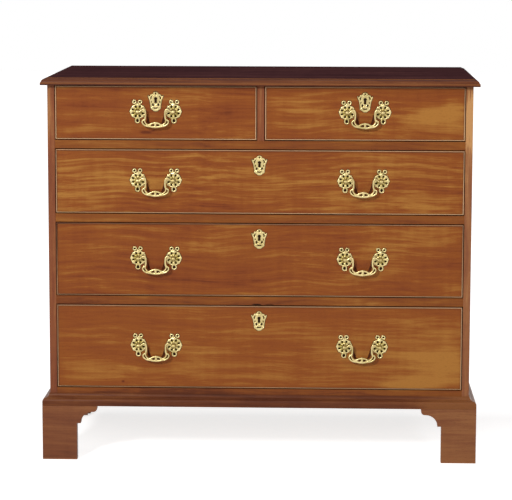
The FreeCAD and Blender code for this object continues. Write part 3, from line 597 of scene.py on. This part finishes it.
for drawer in DRAWERS:
    solid, wear = cockbead(drawer)
    body = "drawer_" + drawer
    piece(drawer + "_bead", solid, bead_wear_and_highlight_wood, body, [drawer + "_cockbead"], 50, wear)


# ---- brasses: fields and castings -----------------------------------------------------------------------
def bowed(knots, between=7):
    """A smooth line through knots of (x, z, radius): on each stretch the Catmull-Rom cubic of its four
    nearest knots."""
    k = np.asarray(knots, float)
    k = np.vstack([2 * k[0] - k[1], k, 2 * k[-1] - k[-2]])
    t = np.linspace(0, 1, between, endpoint=False)[:, None, None]
    p0, p1, p2, p3 = k[:-3], k[1:-2], k[2:-1], k[3:]
    cubic = 2 * p1 + (p2 - p0) * t + (2 * p0 - 5 * p1 + 4 * p2 - p3) * t**2
    cubic = 0.5 * (cubic + (3 * p1 - p0 - 3 * p2 + p3) * t**3)
    return np.vstack([cubic.transpose(1, 0, 2).reshape(-1, 3), k[-2]])


def stroke(at, line):
    """Depth inside a stroke: its radius, which changes evenly from point to point, less the distance to
    its line."""
    a, b = line[:-1], line[1:]
    step = b[:, :2] - a[:, :2]
    rel = at[:, None, :] - a[None, :, :2]
    t = np.clip((rel * step).sum(-1) / (step * step).sum(-1), 0, 1)
    away = np.linalg.norm(rel - t[..., None] * step, axis=-1)
    return (a[:, 2] + t * (b[:, 2] - a[:, 2]) - away).max(-1)


def disc(at, x, z, radius, radius_z=None):
    """Depth inside an ellipse, exact for a circle: the shorter radius times one less the scaled distance."""
    rz = radius_z or radius
    return min(radius, rz) * (1 - np.hypot((at[:, 0] - x) / radius, (at[:, 1] - z) / rz))


def within(at, outline):
    """Depth inside a closed outline: the distance to its nearest side, negative where an upward line
    crosses it an even number of times."""
    ring = np.vstack([outline, outline[:1]])
    far = -stroke(at, np.column_stack([ring, np.zeros(len(ring))]))
    a, b = ring[:-1], ring[1:]
    x, z = at[:, :1], at[:, 1:]
    between = (a[:, 0] > x) != (b[:, 0] > x)
    with np.errstate(divide="ignore", invalid="ignore"):
        height = a[:, 1] + (x - a[:, 0]) * (b[:, 1] - a[:, 1]) / (b[:, 0] - a[:, 0])
    crossings = (between & (z < height)).sum(-1)
    return np.where(crossings % 2 == 1, far, -far)


def melted(*fields):
    """A soft union: k * log(sum of exp(field / k)), so that joints are filled like a casting's."""
    k = 0.3
    return k * np.logaddexp.reduce(np.stack(fields) / k, axis=0)


def crown(depth, radius):
    """A rounded edge: 0 at the rim rising to 1 at the radius, as a quarter of a circle."""
    return np.sqrt(np.clip(1 - (1 - np.clip(depth / radius, 0, 1)) ** 2, 0, 1))


def cut_sheet(field, low, high, step):
    """Triangles of a grid where the field is above 0, cut along its edge. A triangle with one corner
    inside keeps its tip, and one with two keeps a four-sided piece; each cut is where the field, taken as
    even between corners, is 0. Gives points, triangles and the rim's edges."""
    x = np.arange(low[0], high[0] + step, step)
    z = np.arange(low[1], high[1] + step, step)
    spot = np.stack(np.meshgrid(x, z, indexing="ij"), -1).reshape(-1, 2)
    depth = field(spot)
    cells = net(len(x), len(z))
    tri = np.concatenate([cells[:, [0, 1, 2]], cells[:, [0, 2, 3]]])
    inside = depth[tri] > 0
    count = inside.sum(1)

    def from_corner(rows, first):
        return np.take_along_axis(rows, (first[:, None] + np.arange(3)) % 3, 1)

    one = from_corner(tri[count == 1], inside[count == 1].argmax(1))
    two = from_corner(tri[count == 2], (~inside[count == 2]).argmax(1))
    ends = np.sort(np.concatenate([one[:, [0, 1]], one[:, [0, 2]], two[:, [0, 1]], two[:, [0, 2]]]), 1)
    edges, number = np.unique(ends, axis=0, return_inverse=True)
    first, second = depth[edges[:, 0]], depth[edges[:, 1]]
    cuts = spot[edges[:, 0]] + (first / (first - second))[:, None] * (spot[edges[:, 1]] - spot[edges[:, 0]])
    n1, n2 = len(one), len(two)
    a, b, c, d = np.split(number.ravel() + len(spot), [n1, 2 * n1, 2 * n1 + n2])
    kept = np.concatenate([
        tri[count == 3], np.stack([one[:, 0], a, b], 1), np.stack([c, two[:, 1], two[:, 2]], 1),
        np.stack([c, two[:, 2], d], 1),
    ])
    used, kept = np.unique(kept, return_inverse=True)
    kept = kept.reshape(-1, 3)
    points = np.concatenate([spot, cuts])[used]
    sides = np.concatenate([kept[:, [0, 1]], kept[:, [1, 2]], kept[:, [2, 0]]])
    _, where, times = np.unique(np.sort(sides, 1), axis=0, return_index=True, return_counts=True)
    return points, kept, sides[where[times == 1]]


def cast(field, low, high, step, front, back):
    """A casting over the region where field > 0, found on a grid from low to high with cells of one step.
    Its front stands front(at, depth) before its middle plane and its back stands back(at, depth) behind,
    in millimetres, joined by a wall round every rim. Gives the solid in metres, with its middle plane at
    y = 0."""
    at, tri, rim = cut_sheet(field, low, high, step)
    depth = np.clip(field(at), 0, None)
    count = len(at)
    near = np.stack([at[:, 0], -front(at, depth), at[:, 1]], -1)
    far = np.stack([at[:, 0], back(at, depth), at[:, 1]], -1)
    wall = np.stack([rim[:, 1], rim[:, 0], rim[:, 0] + count, rim[:, 1] + count], 1)
    points = np.concatenate([near, far]) * MM
    return outward(points, [np.concatenate([tri, tri[:, ::-1] + count]), wall])


def flat(height):
    """A face of a casting that stands as high everywhere, in millimetres."""
    return lambda at, depth: np.full(len(at), height)


FILM_PAST = 0.7  # how far a dark film reaches past an outline, in millimetres; round the brasses this rim is painted shade


def film(field, low, high):
    """A dark film, 0.06 mm thick, over an outline and a little past it."""
    return cast(lambda at: field(at) + FILM_PAST, low, high, 0.9, flat(0.06), flat(0.0))


# ---- brasses: rosettes and posts ------------------------------------------------------------------------
PETAL_COUNT = 8
PETALS = np.arange(PETAL_COUNT) * 2 * math.pi / PETAL_COUNT  # the angle of each petal of the flower
SQUASH = 0.93  # the height of a rosette's pattern over its width
EARS = (1.8 - 7.1, 1.8 + 7.1)  # x of the eared rings, a little out from the middle of the handle


def rosette_solid(at):
    """A round plate with a knob at the end of each petal, two eared rings and a lower loop, all filled."""
    plate = [disc(at, 0, 0, 19.6, 18.2)]
    plate += [disc(at, 18.2 * math.cos(a), 16.8 * math.sin(a), 2.7) for a in PETALS]
    ears = [disc(at, x, 23.4, 5.6) for x in EARS]
    neck = stroke(at, np.array([(1.8, 15.0, 3.0), (1.8, 19.2, 2.2)]))
    loop = stroke(at, np.array([(0.9, -21.4, 6.6), (1.0, -22.8, 6.8)]))
    return melted(*plate, *ears, neck, loop)


def rosette_field(at):
    """The plate less a piercing between each two petals, the eyes of its ears and its loop's eye."""
    holes = [disc(at, x, 23.5, 2.3) for x in EARS]
    holes.append(stroke(at, np.array([(0.9, -21.9, 2.9), (1.0, -23.2, 3.2)])))
    for a in PETALS + math.pi / PETAL_COUNT:
        line = [(r * math.cos(a), r * math.sin(a) * SQUASH, w) for r, w in ((13.0, 1.9), (14.4, 1.7))]
        holes.append(stroke(at, np.array(line)))
    return np.minimum(rosette_solid(at), -np.max(holes, axis=0))


def rosette_front(at, depth):
    """A rounded edge, a raised flower of petals in the middle and a shallow furrow round it."""
    r = np.hypot(at[:, 0], at[:, 1] / SQUASH)
    angle = np.arctan2(at[:, 1] / SQUASH, at[:, 0])
    flower = np.clip(1 - (r / 10.5) ** 2, 0, 1) * (0.55 + 0.45 * np.cos(PETAL_COUNT * angle))
    petal = np.clip((r - 9) / 4, 0, 1) * np.clip((20 - r) / 3, 0, 1) * np.cos(PETAL_COUNT * angle)
    furrow = np.exp(-(((r - 10.2) / 1.0) ** 2))
    return 0.9 + 1.2 * crown(depth, 2.0) + 1.3 * flower + 0.4 * petal - 0.6 * furrow


rosette = cast(rosette_field, (-22, -33), (22, 31), 0.62, rosette_front, flat(0.0))
rosette_film = film(rosette_solid, (-24, -34), (24, 32))


def hollows(solid, low, high):
    """How deep each point lies in a casting's hollows: 1 at the low level, 0 at the high one."""
    height = -solid[0][:, 1] / MM
    return np.clip((high - height) / (high - low), 0, 1) ** 2


def rosette_patina_and_shade():
    """Dull olive in low places, the flower's furrows, round each piercing and over the loop: patina there and
    painted shade.
    """
    x, _, z = rosette[0].T / MM
    r, angle = np.hypot(x, z / SQUASH), np.arctan2(z / SQUASH, x)
    between = 0.5 - 0.5 * np.cos(PETAL_COUNT * angle)
    ring = np.exp(-(((r - 13.2) / 2.4) ** 2)) * (0.25 + 0.75 * between)
    flower = np.clip((11.6 - r) / 2, 0, 1) * np.clip((r - 4) / 3, 0, 1) * (0.25 + 0.6 * between)
    loop = 0.6 * np.exp(-((x - 1) ** 2 + (z + 18.5) ** 2) / 12)
    return np.clip(hollows(rosette, 0.9, 2.1) + 0.9 * ring + flower + loop, 0, 1)


ROSETTE_PATINA_AND_SHADE = rosette_patina_and_shade()


def post():
    """A cast post, standing along y from the plate's face: a fluted foot that thins to a neck, and a
    drilled head, a short round barrel across it. Also gives how deep each point lies in a flute, for patina
    and painted shade there, and 0.3 on the head, painted shade that dulls its glint."""
    s = np.linspace(0, 1, 13)
    foot = np.stack([-1.6 - 13.4 * s, 3.0 + 5.2 * (1 - s) ** 3.2], -1)
    foot = np.vstack([[(0.0, 8.2)], foot, [(-15.0, 0.0)]]) * MM
    trumpet = spun(foot, 48, 1, flutes=8, depth=0.16)
    x, y, z = trumpet[0].T / MM
    flute = 0.5 - 0.5 * np.cos(8 * np.arctan2(x, z))
    deep = flute * np.clip((np.hypot(x, z) - 2.6) / 2.5, 0, 1) * np.clip(1 + (y + 3.0) / 9.0, 0, 1)
    half, radius, ease = 4.0, 4.6, 1.0
    turn = np.linspace(0, math.pi / 2, 5)
    edge = np.stack([half - ease + ease * np.sin(turn), radius - ease + ease * np.cos(turn)], -1)
    stations = np.vstack([[(-half, 0)], (edge * (-1, 1))[::-1], edge, [(half, 0)]]) * MM
    head = spun(stations, 28, 0, centre=(0, -16 * MM, 0))
    return joined([trumpet, head]), np.concatenate([deep, np.full(len(head[0]), 0.3)])


def shank():
    """The post's threaded end behind the drawer front, with a round filed nut."""
    pitch, turns = 0.9, 8
    n = np.arange(2 * turns)
    thread = np.stack([7.6 - turns * pitch + n * pitch / 2, 2.05 + 0.25 * (n % 2)], -1)
    rod = np.vstack([[(-0.4, 0.0), (-0.4, 2.05)], thread, [(7.6, 1.7), (7.6, 0.0)]]) * MM
    nut = [(0.0, 0.0), (0.0, 6.2), (0.5, 6.6), (3.1, 6.4), (3.8, 5.6), (4.0, 0.0)]
    return joined([spun(rod, 14, 1), spun(np.array(nut) * MM, 20, 1)])


POST_SOLID, POST_PATINA_AND_SHADE = post()
SHANK_SOLID = shank()


def on_front(bail, side=0):
    """The place on a drawer front behind a bail's middle, or behind its left (-1) or right (1) post."""
    x, _, z = PIVOTS[bail]
    return np.array([x + side * POST, FACE, z])


def fixed_brasses(drawer):
    """Every rosette, post, shank and nut of a drawer, and each point's share of dull olive tone: patina and
    painted shade.
    """
    solids, deep = [], []
    for bail in BAILS[drawer]:
        for side in (-1, 1):
            plate = rosette if side > 0 else mirrored(rosette)
            at = on_front(bail, side)
            solids += [moved(plate, at), moved(POST_SOLID, at), moved(SHANK_SOLID, at + (0, REAR - FACE, 0))]
            deep += [ROSETTE_PATINA_AND_SHADE, POST_PATINA_AND_SHADE, np.full(len(SHANK_SOLID[0]), 0.5)]
    return joined(solids), np.concatenate(deep)


def handle_films(drawer):
    """The near-black films under and round every rosette of a drawer: old polish, and painted shade in the
    piercings and round the rims.
    """
    films = {-1: mirrored(rosette_film), 1: rosette_film}
    return joined([moved(films[side], on_front(bail, side)) for bail in BAILS[drawer] for side in (-1, 1)])


# ---- brasses: bails -------------------------------------------------------------------------------------
NECK = bowed([
    (39.6, 0.0, 2.2), (35.8, 2.6, 2.1), (31.8, 5.4, 2.3), (27.8, 5.6, 2.5), (25.0, 2.2, 2.5),
    (24.2, -3.6, 2.4), (24.2, -10.0, 2.4), (24.8, -15.0, 2.5), (26.0, -18.8, 2.2),
])
LEAF_OUT = bowed([
    (26.0, -18.8, 2.2), (29.4, -20.0, 2.1), (31.9, -22.6, 2.1), (32.0, -26.0, 2.1), (30.2, -29.4, 2.1),
    (26.4, -32.6, 2.1), (21.6, -34.8, 2.2), (17.0, -35.4, 2.3),
])
LEAF_IN = bowed([
    (26.0, -18.8, 2.2), (26.0, -22.6, 1.9), (24.2, -26.8, 1.9), (21.0, -30.4, 2.1), (17.2, -32.6, 2.2),
])
GRIP_TOP = bowed([(17.4, -32.6, 2.3), (12.6, -31.0, 2.4), (7.2, -28.2, 2.2), (0.0, -27.2, 2.6)])
GRIP_LOW = bowed([(17.4, -35.4, 2.3), (12.6, -35.8, 2.6), (7.2, -37.0, 2.7), (0.0, -37.4, 2.8)])
BAR = np.array([(0.0, -26.8, 2.4), (0.0, -31.0, 3.0), (0.0, -37.0, 3.0)])


def mirror_x(at):
    """The same places with x taken as positive, for a field that is alike on both sides."""
    return np.column_stack([np.abs(at[:, 0]), at[:, 1]])


def bail_field(at):
    """Swan necks, open leaves and an oval grip with two eyes, the same on both sides of the middle."""
    at = mirror_x(at)
    return melted(*[stroke(at, line) for line in (NECK, LEAF_OUT, LEAF_IN, GRIP_TOP, GRIP_LOW, BAR)])


def bail_thick(at, depth):
    """Half the thickness: full on a stroke's line and rounded off towards its edge."""
    return 0.35 + 2.1 * crown(depth, 2.2)


SHADED_GRIP = bowed([
    (29.0, -25.0, 2.2), (25.6, -31.2, 2.6), (17.0, -34.6, 2.8), (8.0, -34.2, 4.0), (0.0, -34.2, 4.6),
])
SHADED_CORNER = bowed([(21.4, -6.0, 0.9), (20.4, -15.0, 2.0), (18.6, -24.6, 3.3), (14.6, -30.0, 1.5)])


def shaded_wood(at):
    """Darker wood behind a bail, behind its grip and leaves and within its lower corners: a patina mark of
    the bail and its painted shadow.
    """
    at = mirror_x(at)
    return np.maximum(stroke(at, SHADED_GRIP), stroke(at, SHADED_CORNER)) - FILM_PAST


pin = spun(np.array([(37.6, 0), (37.6, 2.0), (47.6, 2.0), (48.1, 1.5), (48.2, 0)]) * MM, 18, 0)
bail_solid = joined([
    cast(bail_field, (-42, -43), (42, 9), 0.62, bail_thick, bail_thick), pin, mirrored(pin),
])
# 0.12 everywhere, rising towards the bail's rims and side walls: patina, and painted shade on the walls.
bail_patina_and_shade = 0.12 + 0.7 * np.clip((1.5 - np.abs(bail_solid[0][:, 1]) / MM) / 1.5, 0, 1) ** 2
# a dark film behind each bail, reaching out beside its arms: patina and painted shadow
bail_patina_mark_and_shadow = film(shaded_wood, (-34, -40), (34, -6))

for drawer in DRAWERS:
    body = "drawer_" + drawer
    solid, deep = fixed_brasses(drawer)
    piece(drawer + "_rosettes", solid, cast_brass, body, [drawer + "_handle_plates"], 45, deep)
    # near-black film under each rosette: old polish, and painted shade in its piercings and round its rim
    piece(drawer + "_handle_polish_and_shade", handle_films(drawer), polish_and_shade_film, body)
    solid = joined([moved(bail_patina_mark_and_shadow, on_front(bail)) for bail in BAILS[drawer]])
    piece(drawer + "_bail_patina_mark_and_shadow", solid, patina_and_shadow_finish, body)
    for bail in BAILS[drawer]:
        node = bail.removesuffix("_body")
        solid = moved(bail_solid, PIVOTS[bail])
        piece(node + "_casting", solid, cast_brass, bail, [node], 45, bail_patina_and_shade)


# ---- brasses: escutcheons -------------------------------------------------------------------------------
CREST = 22.0  # the shield's highest point above its middle
SHIELD = bowed([
    (0.0, CREST, 0), (3.4, 21.2, 0), (6.2, 18.8, 0), (7.4, 15.8, 0), (10.8, 15.2, 0), (13.6, 13.0, 0),
    (14.4, 10.2, 0), (15.8, 10.2, 0), (17.2, 12.4, 0), (19.2, 12.2, 0), (19.2, 8.4, 0), (17.6, 4.0, 0),
    (15.8, 0.0, 0), (14.8, -5.5, 0), (13.9, -11.0, 0), (13.2, -16.5, 0), (13.2, -19.0, 0), (11.2, -22.0, 0),
    (7.8, -24.0, 0), (4.6, -26.8, 0), (0.0, -27.5, 0),
], 4)[:, :2]
SHIELD_HOLES = [
    [(6.9, -9.2, 1.5), (6.5, -11.8, 2.0)], [(0.0, -19.8, 1.1), (3.9, -19.2, 1.4)],
    [(0.0, 15.8, 1.0), (0.0, 17.4, 1.3)], [(9.6, 10.0, 0.8), (12.0, 6.4, 1.3), (11.4, 3.0, 0.8)],
    [(9.9, -2.2, 0.7), (10.2, -5.4, 0.9)],
]
RIDGES = [
    [(0.0, 12.2, 1.6), (4.2, 12.4, 1.4), (5.9, 9.0, 1.1), (5.3, 3.0, 1.1)],
    [(5.3, 3.0, 1.1), (4.8, -4.0, 1.1), (3.6, -9.4, 1.3), (0.0, -12.6, 1.4)],
    [(18.4, 10.8, 1.2), (16.2, 6.2, 1.3), (14.2, 1.0, 1.3), (12.6, -6.0, 1.2), (11.6, -14.0, 1.2)],
    [(11.4, -19.6, 1.4), (7.8, -16.4, 1.3), (3.6, -15.2, 1.3), (0.0, -15.4, 1.4)],
    [(5.2, 18.4, 1.1), (2.8, 20.0, 1.1), (0.0, 20.4, 1.1)],
]


def shield_solid(at):
    """The keyhole plate's outline, filled: a crested shield with horns."""
    return within(mirror_x(at), np.concatenate([SHIELD, (SHIELD * (-1, 1))[-2:0:-1]]))


def keyhole(at, grown=0.0):
    """A keyhole: a round hole over a straight slot with a round foot."""
    slot = stroke(at, np.array([(0.0, 4.0, 2.4 + grown), (0.0, -5.2, 2.4 + grown)]))
    return np.maximum(disc(at, 0, 4.3, 3.35 + grown), slot)


def shield_field(at):
    """The shield less the keyhole and its small piercings."""
    holes = [keyhole(at, 0.3)] + [stroke(mirror_x(at), np.array(line)) for line in SHIELD_HOLES]
    return np.minimum(shield_solid(at), -np.max(holes, axis=0))


def shield_front(at, depth):
    """A rounded edge with scrolled ridges laid on it and a dimple under the crest."""
    at = mirror_x(at)
    ridge = np.max([stroke(at, bowed(line)) for line in RIDGES], axis=0)
    dimple = np.exp(-((at[:, 0] / 2.0) ** 2) - ((at[:, 1] - 16.4) / 2.2) ** 2)
    return 0.7 + 0.7 * crown(depth, 1.6) + 1.1 * crown(ridge, 1.2) - 0.5 * dimple


shield = cast(shield_field, (-22, -30), (22, 23), 0.5, shield_front, flat(0.0))
# Olive in the low places between the ridges: patina and painted shade.
shield_patina_and_shade = hollows(shield, 0.3, 2.3)
keyhole_wall = cast(  # a dark cup behind the keyhole, 9 mm deep
    keyhole, (-4, -8.5), (4, 8.5), 0.4, lambda at, depth: -0.4 - 8.6 * crown(depth, 0.5), flat(9.6)
)
# The shield's near-black film and the keyhole's dark cup: old polish, and painted shade round the plate and
# in the keyhole.
key_polish_and_shade = joined([film(shield_solid, (-23, -30), (23, 24)), keyhole_wall])
for drawer in DRAWERS:
    low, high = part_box(drawer + "_escutcheon")
    body, node = "drawer_" + drawer, drawer + "_escutcheon"
    at = ((low.x + high.x) / 2, FACE, high.z - CREST * MM)
    piece(drawer + "_key_plate", moved(shield, at), cast_brass, body, [node], 45, shield_patina_and_shade)
    piece(drawer + "_keyhole_polish_and_shade", moved(key_polish_and_shade, at), polish_and_shade_film, body)


# ---- screws and nails -----------------------------------------------------------------------------------
def screw_front(at, depth):
    """A low dome with a slot filed across it."""
    slot = np.clip((0.75 - np.abs(at[:, 0] + 0.3 * at[:, 1])) / 0.3, 0, 1)
    return 0.15 + 0.45 * crown(depth, 3.2) - 0.5 * slot * (depth > 0.3)


screw = cast(lambda at: disc(at, 0, 0, 3.3), (-3.6, -3.6), (3.6, 3.6), 0.3, screw_front, flat(0.0))
nail = spun(np.array([(-0.12, 0), (-0.1, 1.9), (0.0, 2.4), (0.5, 2.4), (0.6, 0)]) * MM, 10, 1)


def turned_back(solid):
    """The same solid facing the other way along y."""
    return solid[0] * (-1, -1, 1), solid[1]


for drawer in DRAWERS:
    low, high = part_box(drawer + "_lock")
    spots = [(x, z) for x in (low.x + 5 * MM, high.x - 5 * MM) for z in (low.z + 6 * MM, high.z - 9 * MM)]
    solid = joined([moved(turned_back(screw), (x, high.y, z)) for x, z in spots])
    piece(drawer + "_lock_screws", solid, wrought_iron, "drawer_" + drawer, crease=45)

low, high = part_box("backboards")
BOARDS, BOARD_GAP = 4, 0.8 * MM
pitch = (high.z - low.z + BOARD_GAP) / BOARDS
spots = [
    (x, low.z + pitch * (n + share)) for n in range(BOARDS) for share in (0.18, 0.5, 0.82)
    for x in (low.x + 5 * MM, high.x - 5 * MM)
]
solid = joined([moved(turned_back(nail), (x, BACK - 0.13 * MM, z)) for x, z in spots])
piece("back_nails", solid, wrought_iron, "case", crease=60)


# ---- a chip on the rail above the lowest drawer ---------------------------------------------------------
def chipped(at):
    """Two long shallow chips, end to end."""
    return np.maximum(disc(at, -6, 0, 12, 1.6), disc(at, 26, 0, 14, 0.7)) - FILM_PAST


low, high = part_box("lower_cockbead")
solid = moved(film(chipped, (-24, -3), (46, 3)), (0, FACE, high.z + 3.0 * MM))
piece("chipped_rail_edge", solid, polish_and_shade_film, "case")


# ---- floor, light and camera ----------------------------------------------------------------------------
def seen(tree):
    """1 for what the camera, a reflection or clear glass sees, 0 for light on its way to a surface."""
    path = put(tree, "ShaderNodeLightPath").outputs
    either = reckon(tree, "MAXIMUM", path["Is Camera Ray"], path["Is Glossy Ray"])
    return reckon(tree, "MAXIMUM", either, path["Is Transmission Ray"])


floor_finish, tree, shader, place = blank("pale_floor")
shader.inputs["Base Color"].default_value = (0.85, 0.85, 0.85, 1.0)
shader.inputs["Roughness"].default_value = 1.0
shader.inputs["Specular IOR Level"].default_value = 0.0
shader.inputs["Emission Color"].default_value = (1.0, 1.0, 1.0, 1.0)
deep = put(tree, "ShaderNodeSeparateXYZ", {0: place}).outputs["Y"]
# The floor's glow: 0.70 before y = -0.5, 0.85 at y = -0.1, 0.70 again at 0.25, and white from 0.7 on. The dip
# from y = -0.1 to 0.7 is painted shade under and just behind the chest.
before, beneath = span(tree, deep, -0.9, -0.1, 0.56, 0.85), span(tree, deep, -0.08, 0.25, 0.85, 0.70)
behind = span(tree, deep, 0.25, 0.7, 0.70, 1.0)
glow_with_painted_shade = reckon(tree, "MAXIMUM", reckon(tree, "MINIMUM", beneath, before), behind)
glow = reckon(tree, "MULTIPLY", seen(tree), glow_with_painted_shade)
tree.links.new(glow, shader.inputs["Emission Strength"])
mesh = bpy.data.meshes.new("floor")
mesh.from_pydata([(-9, -9, 0), (9, -9, 0), (9, 16, 0), (-9, 16, 0)], [], [(0, 1, 2, 3)])
mesh.transform(Matrix.Translation((0, 0, -0.3 * MM)))
mesh.materials.append(floor_finish)
floor = bpy.data.objects.new("floor", mesh)
bpy.context.scene.collection.objects.link(floor)

world = bpy.data.worlds.new("studio")
world.use_nodes = True
bpy.context.scene.world = world
tree = world.node_tree
tree.nodes["Background"].inputs["Color"].default_value = (1.0, 1.0, 1.0, 1.0)
strength = span(tree, seen(tree), 0.0, 1.0, 0.26, 1.0)
tree.links.new(strength, tree.nodes["Background"].inputs["Strength"])


def soft_lamp(name, place, target, size, power):
    """A flat studio lamp looking from its place at a target."""
    lamp = bpy.data.lights.new(name, "AREA")
    lamp.shape = "RECTANGLE"
    lamp.size, lamp.size_y = size
    lamp.energy = power
    made = bpy.data.objects.new(name, lamp)
    back = Vector(place) - Vector(target)
    made.matrix_world = Matrix.Translation(place) @ back.to_track_quat("Z", "Y").to_matrix().to_4x4()
    bpy.context.scene.collection.objects.link(made)


soft_lamp("left_lamp", (-2.3, -5.6, 3.3), (0, 0, 0.5), (0.8, 0.8), 196)
soft_lamp("right_lamp", (3.2, -3.6, 3.0), (0, 0, 0.5), (0.9, 0.9), 30)
soft_lamp("upper_lamp", (0.0, -2.2, 3.4), (0, 0, 0.6), (2.0, 1.0), 12)


def make_camera():
    """A long lens a little right of the middle and above the top, turned by yaw, pitch and roll."""
    across, back, high = 163.8 * MM, -5215.8 * MM + FACE, 1282.8 * MM
    yaw, pitch, roll = (math.radians(a) for a in (-1.889, 7.502, 0.136))
    focal, lift, picture = 2121.9, -25.0, 512  # focal length and lift, in pixels of a picture this wide
    ahead = np.array([
        math.sin(yaw) * math.cos(pitch), math.cos(yaw) * math.cos(pitch), -math.sin(pitch),
    ])
    level = np.array([math.cos(yaw), -math.sin(yaw), 0.0])
    over = np.cross(level, ahead)
    right = math.cos(roll) * level + math.sin(roll) * over
    up = math.cos(roll) * over - math.sin(roll) * level
    lens = bpy.data.cameras.new("camera")
    lens.sensor_fit = "HORIZONTAL"
    lens.sensor_width = 36.0
    lens.lens = focal / picture * lens.sensor_width
    lens.shift_y = lift / picture
    lens.clip_start, lens.clip_end = 0.1, 100.0
    made = bpy.data.objects.new("camera", lens)
    turn = Matrix(np.stack([right, up, -ahead], 1).tolist()).to_4x4()
    made.matrix_world = Matrix.Translation((across, back, high)) @ turn
    bpy.context.scene.collection.objects.link(made)
    bpy.context.scene.camera = made


make_camera()
bpy.context.scene.view_settings.view_transform = "Standard"
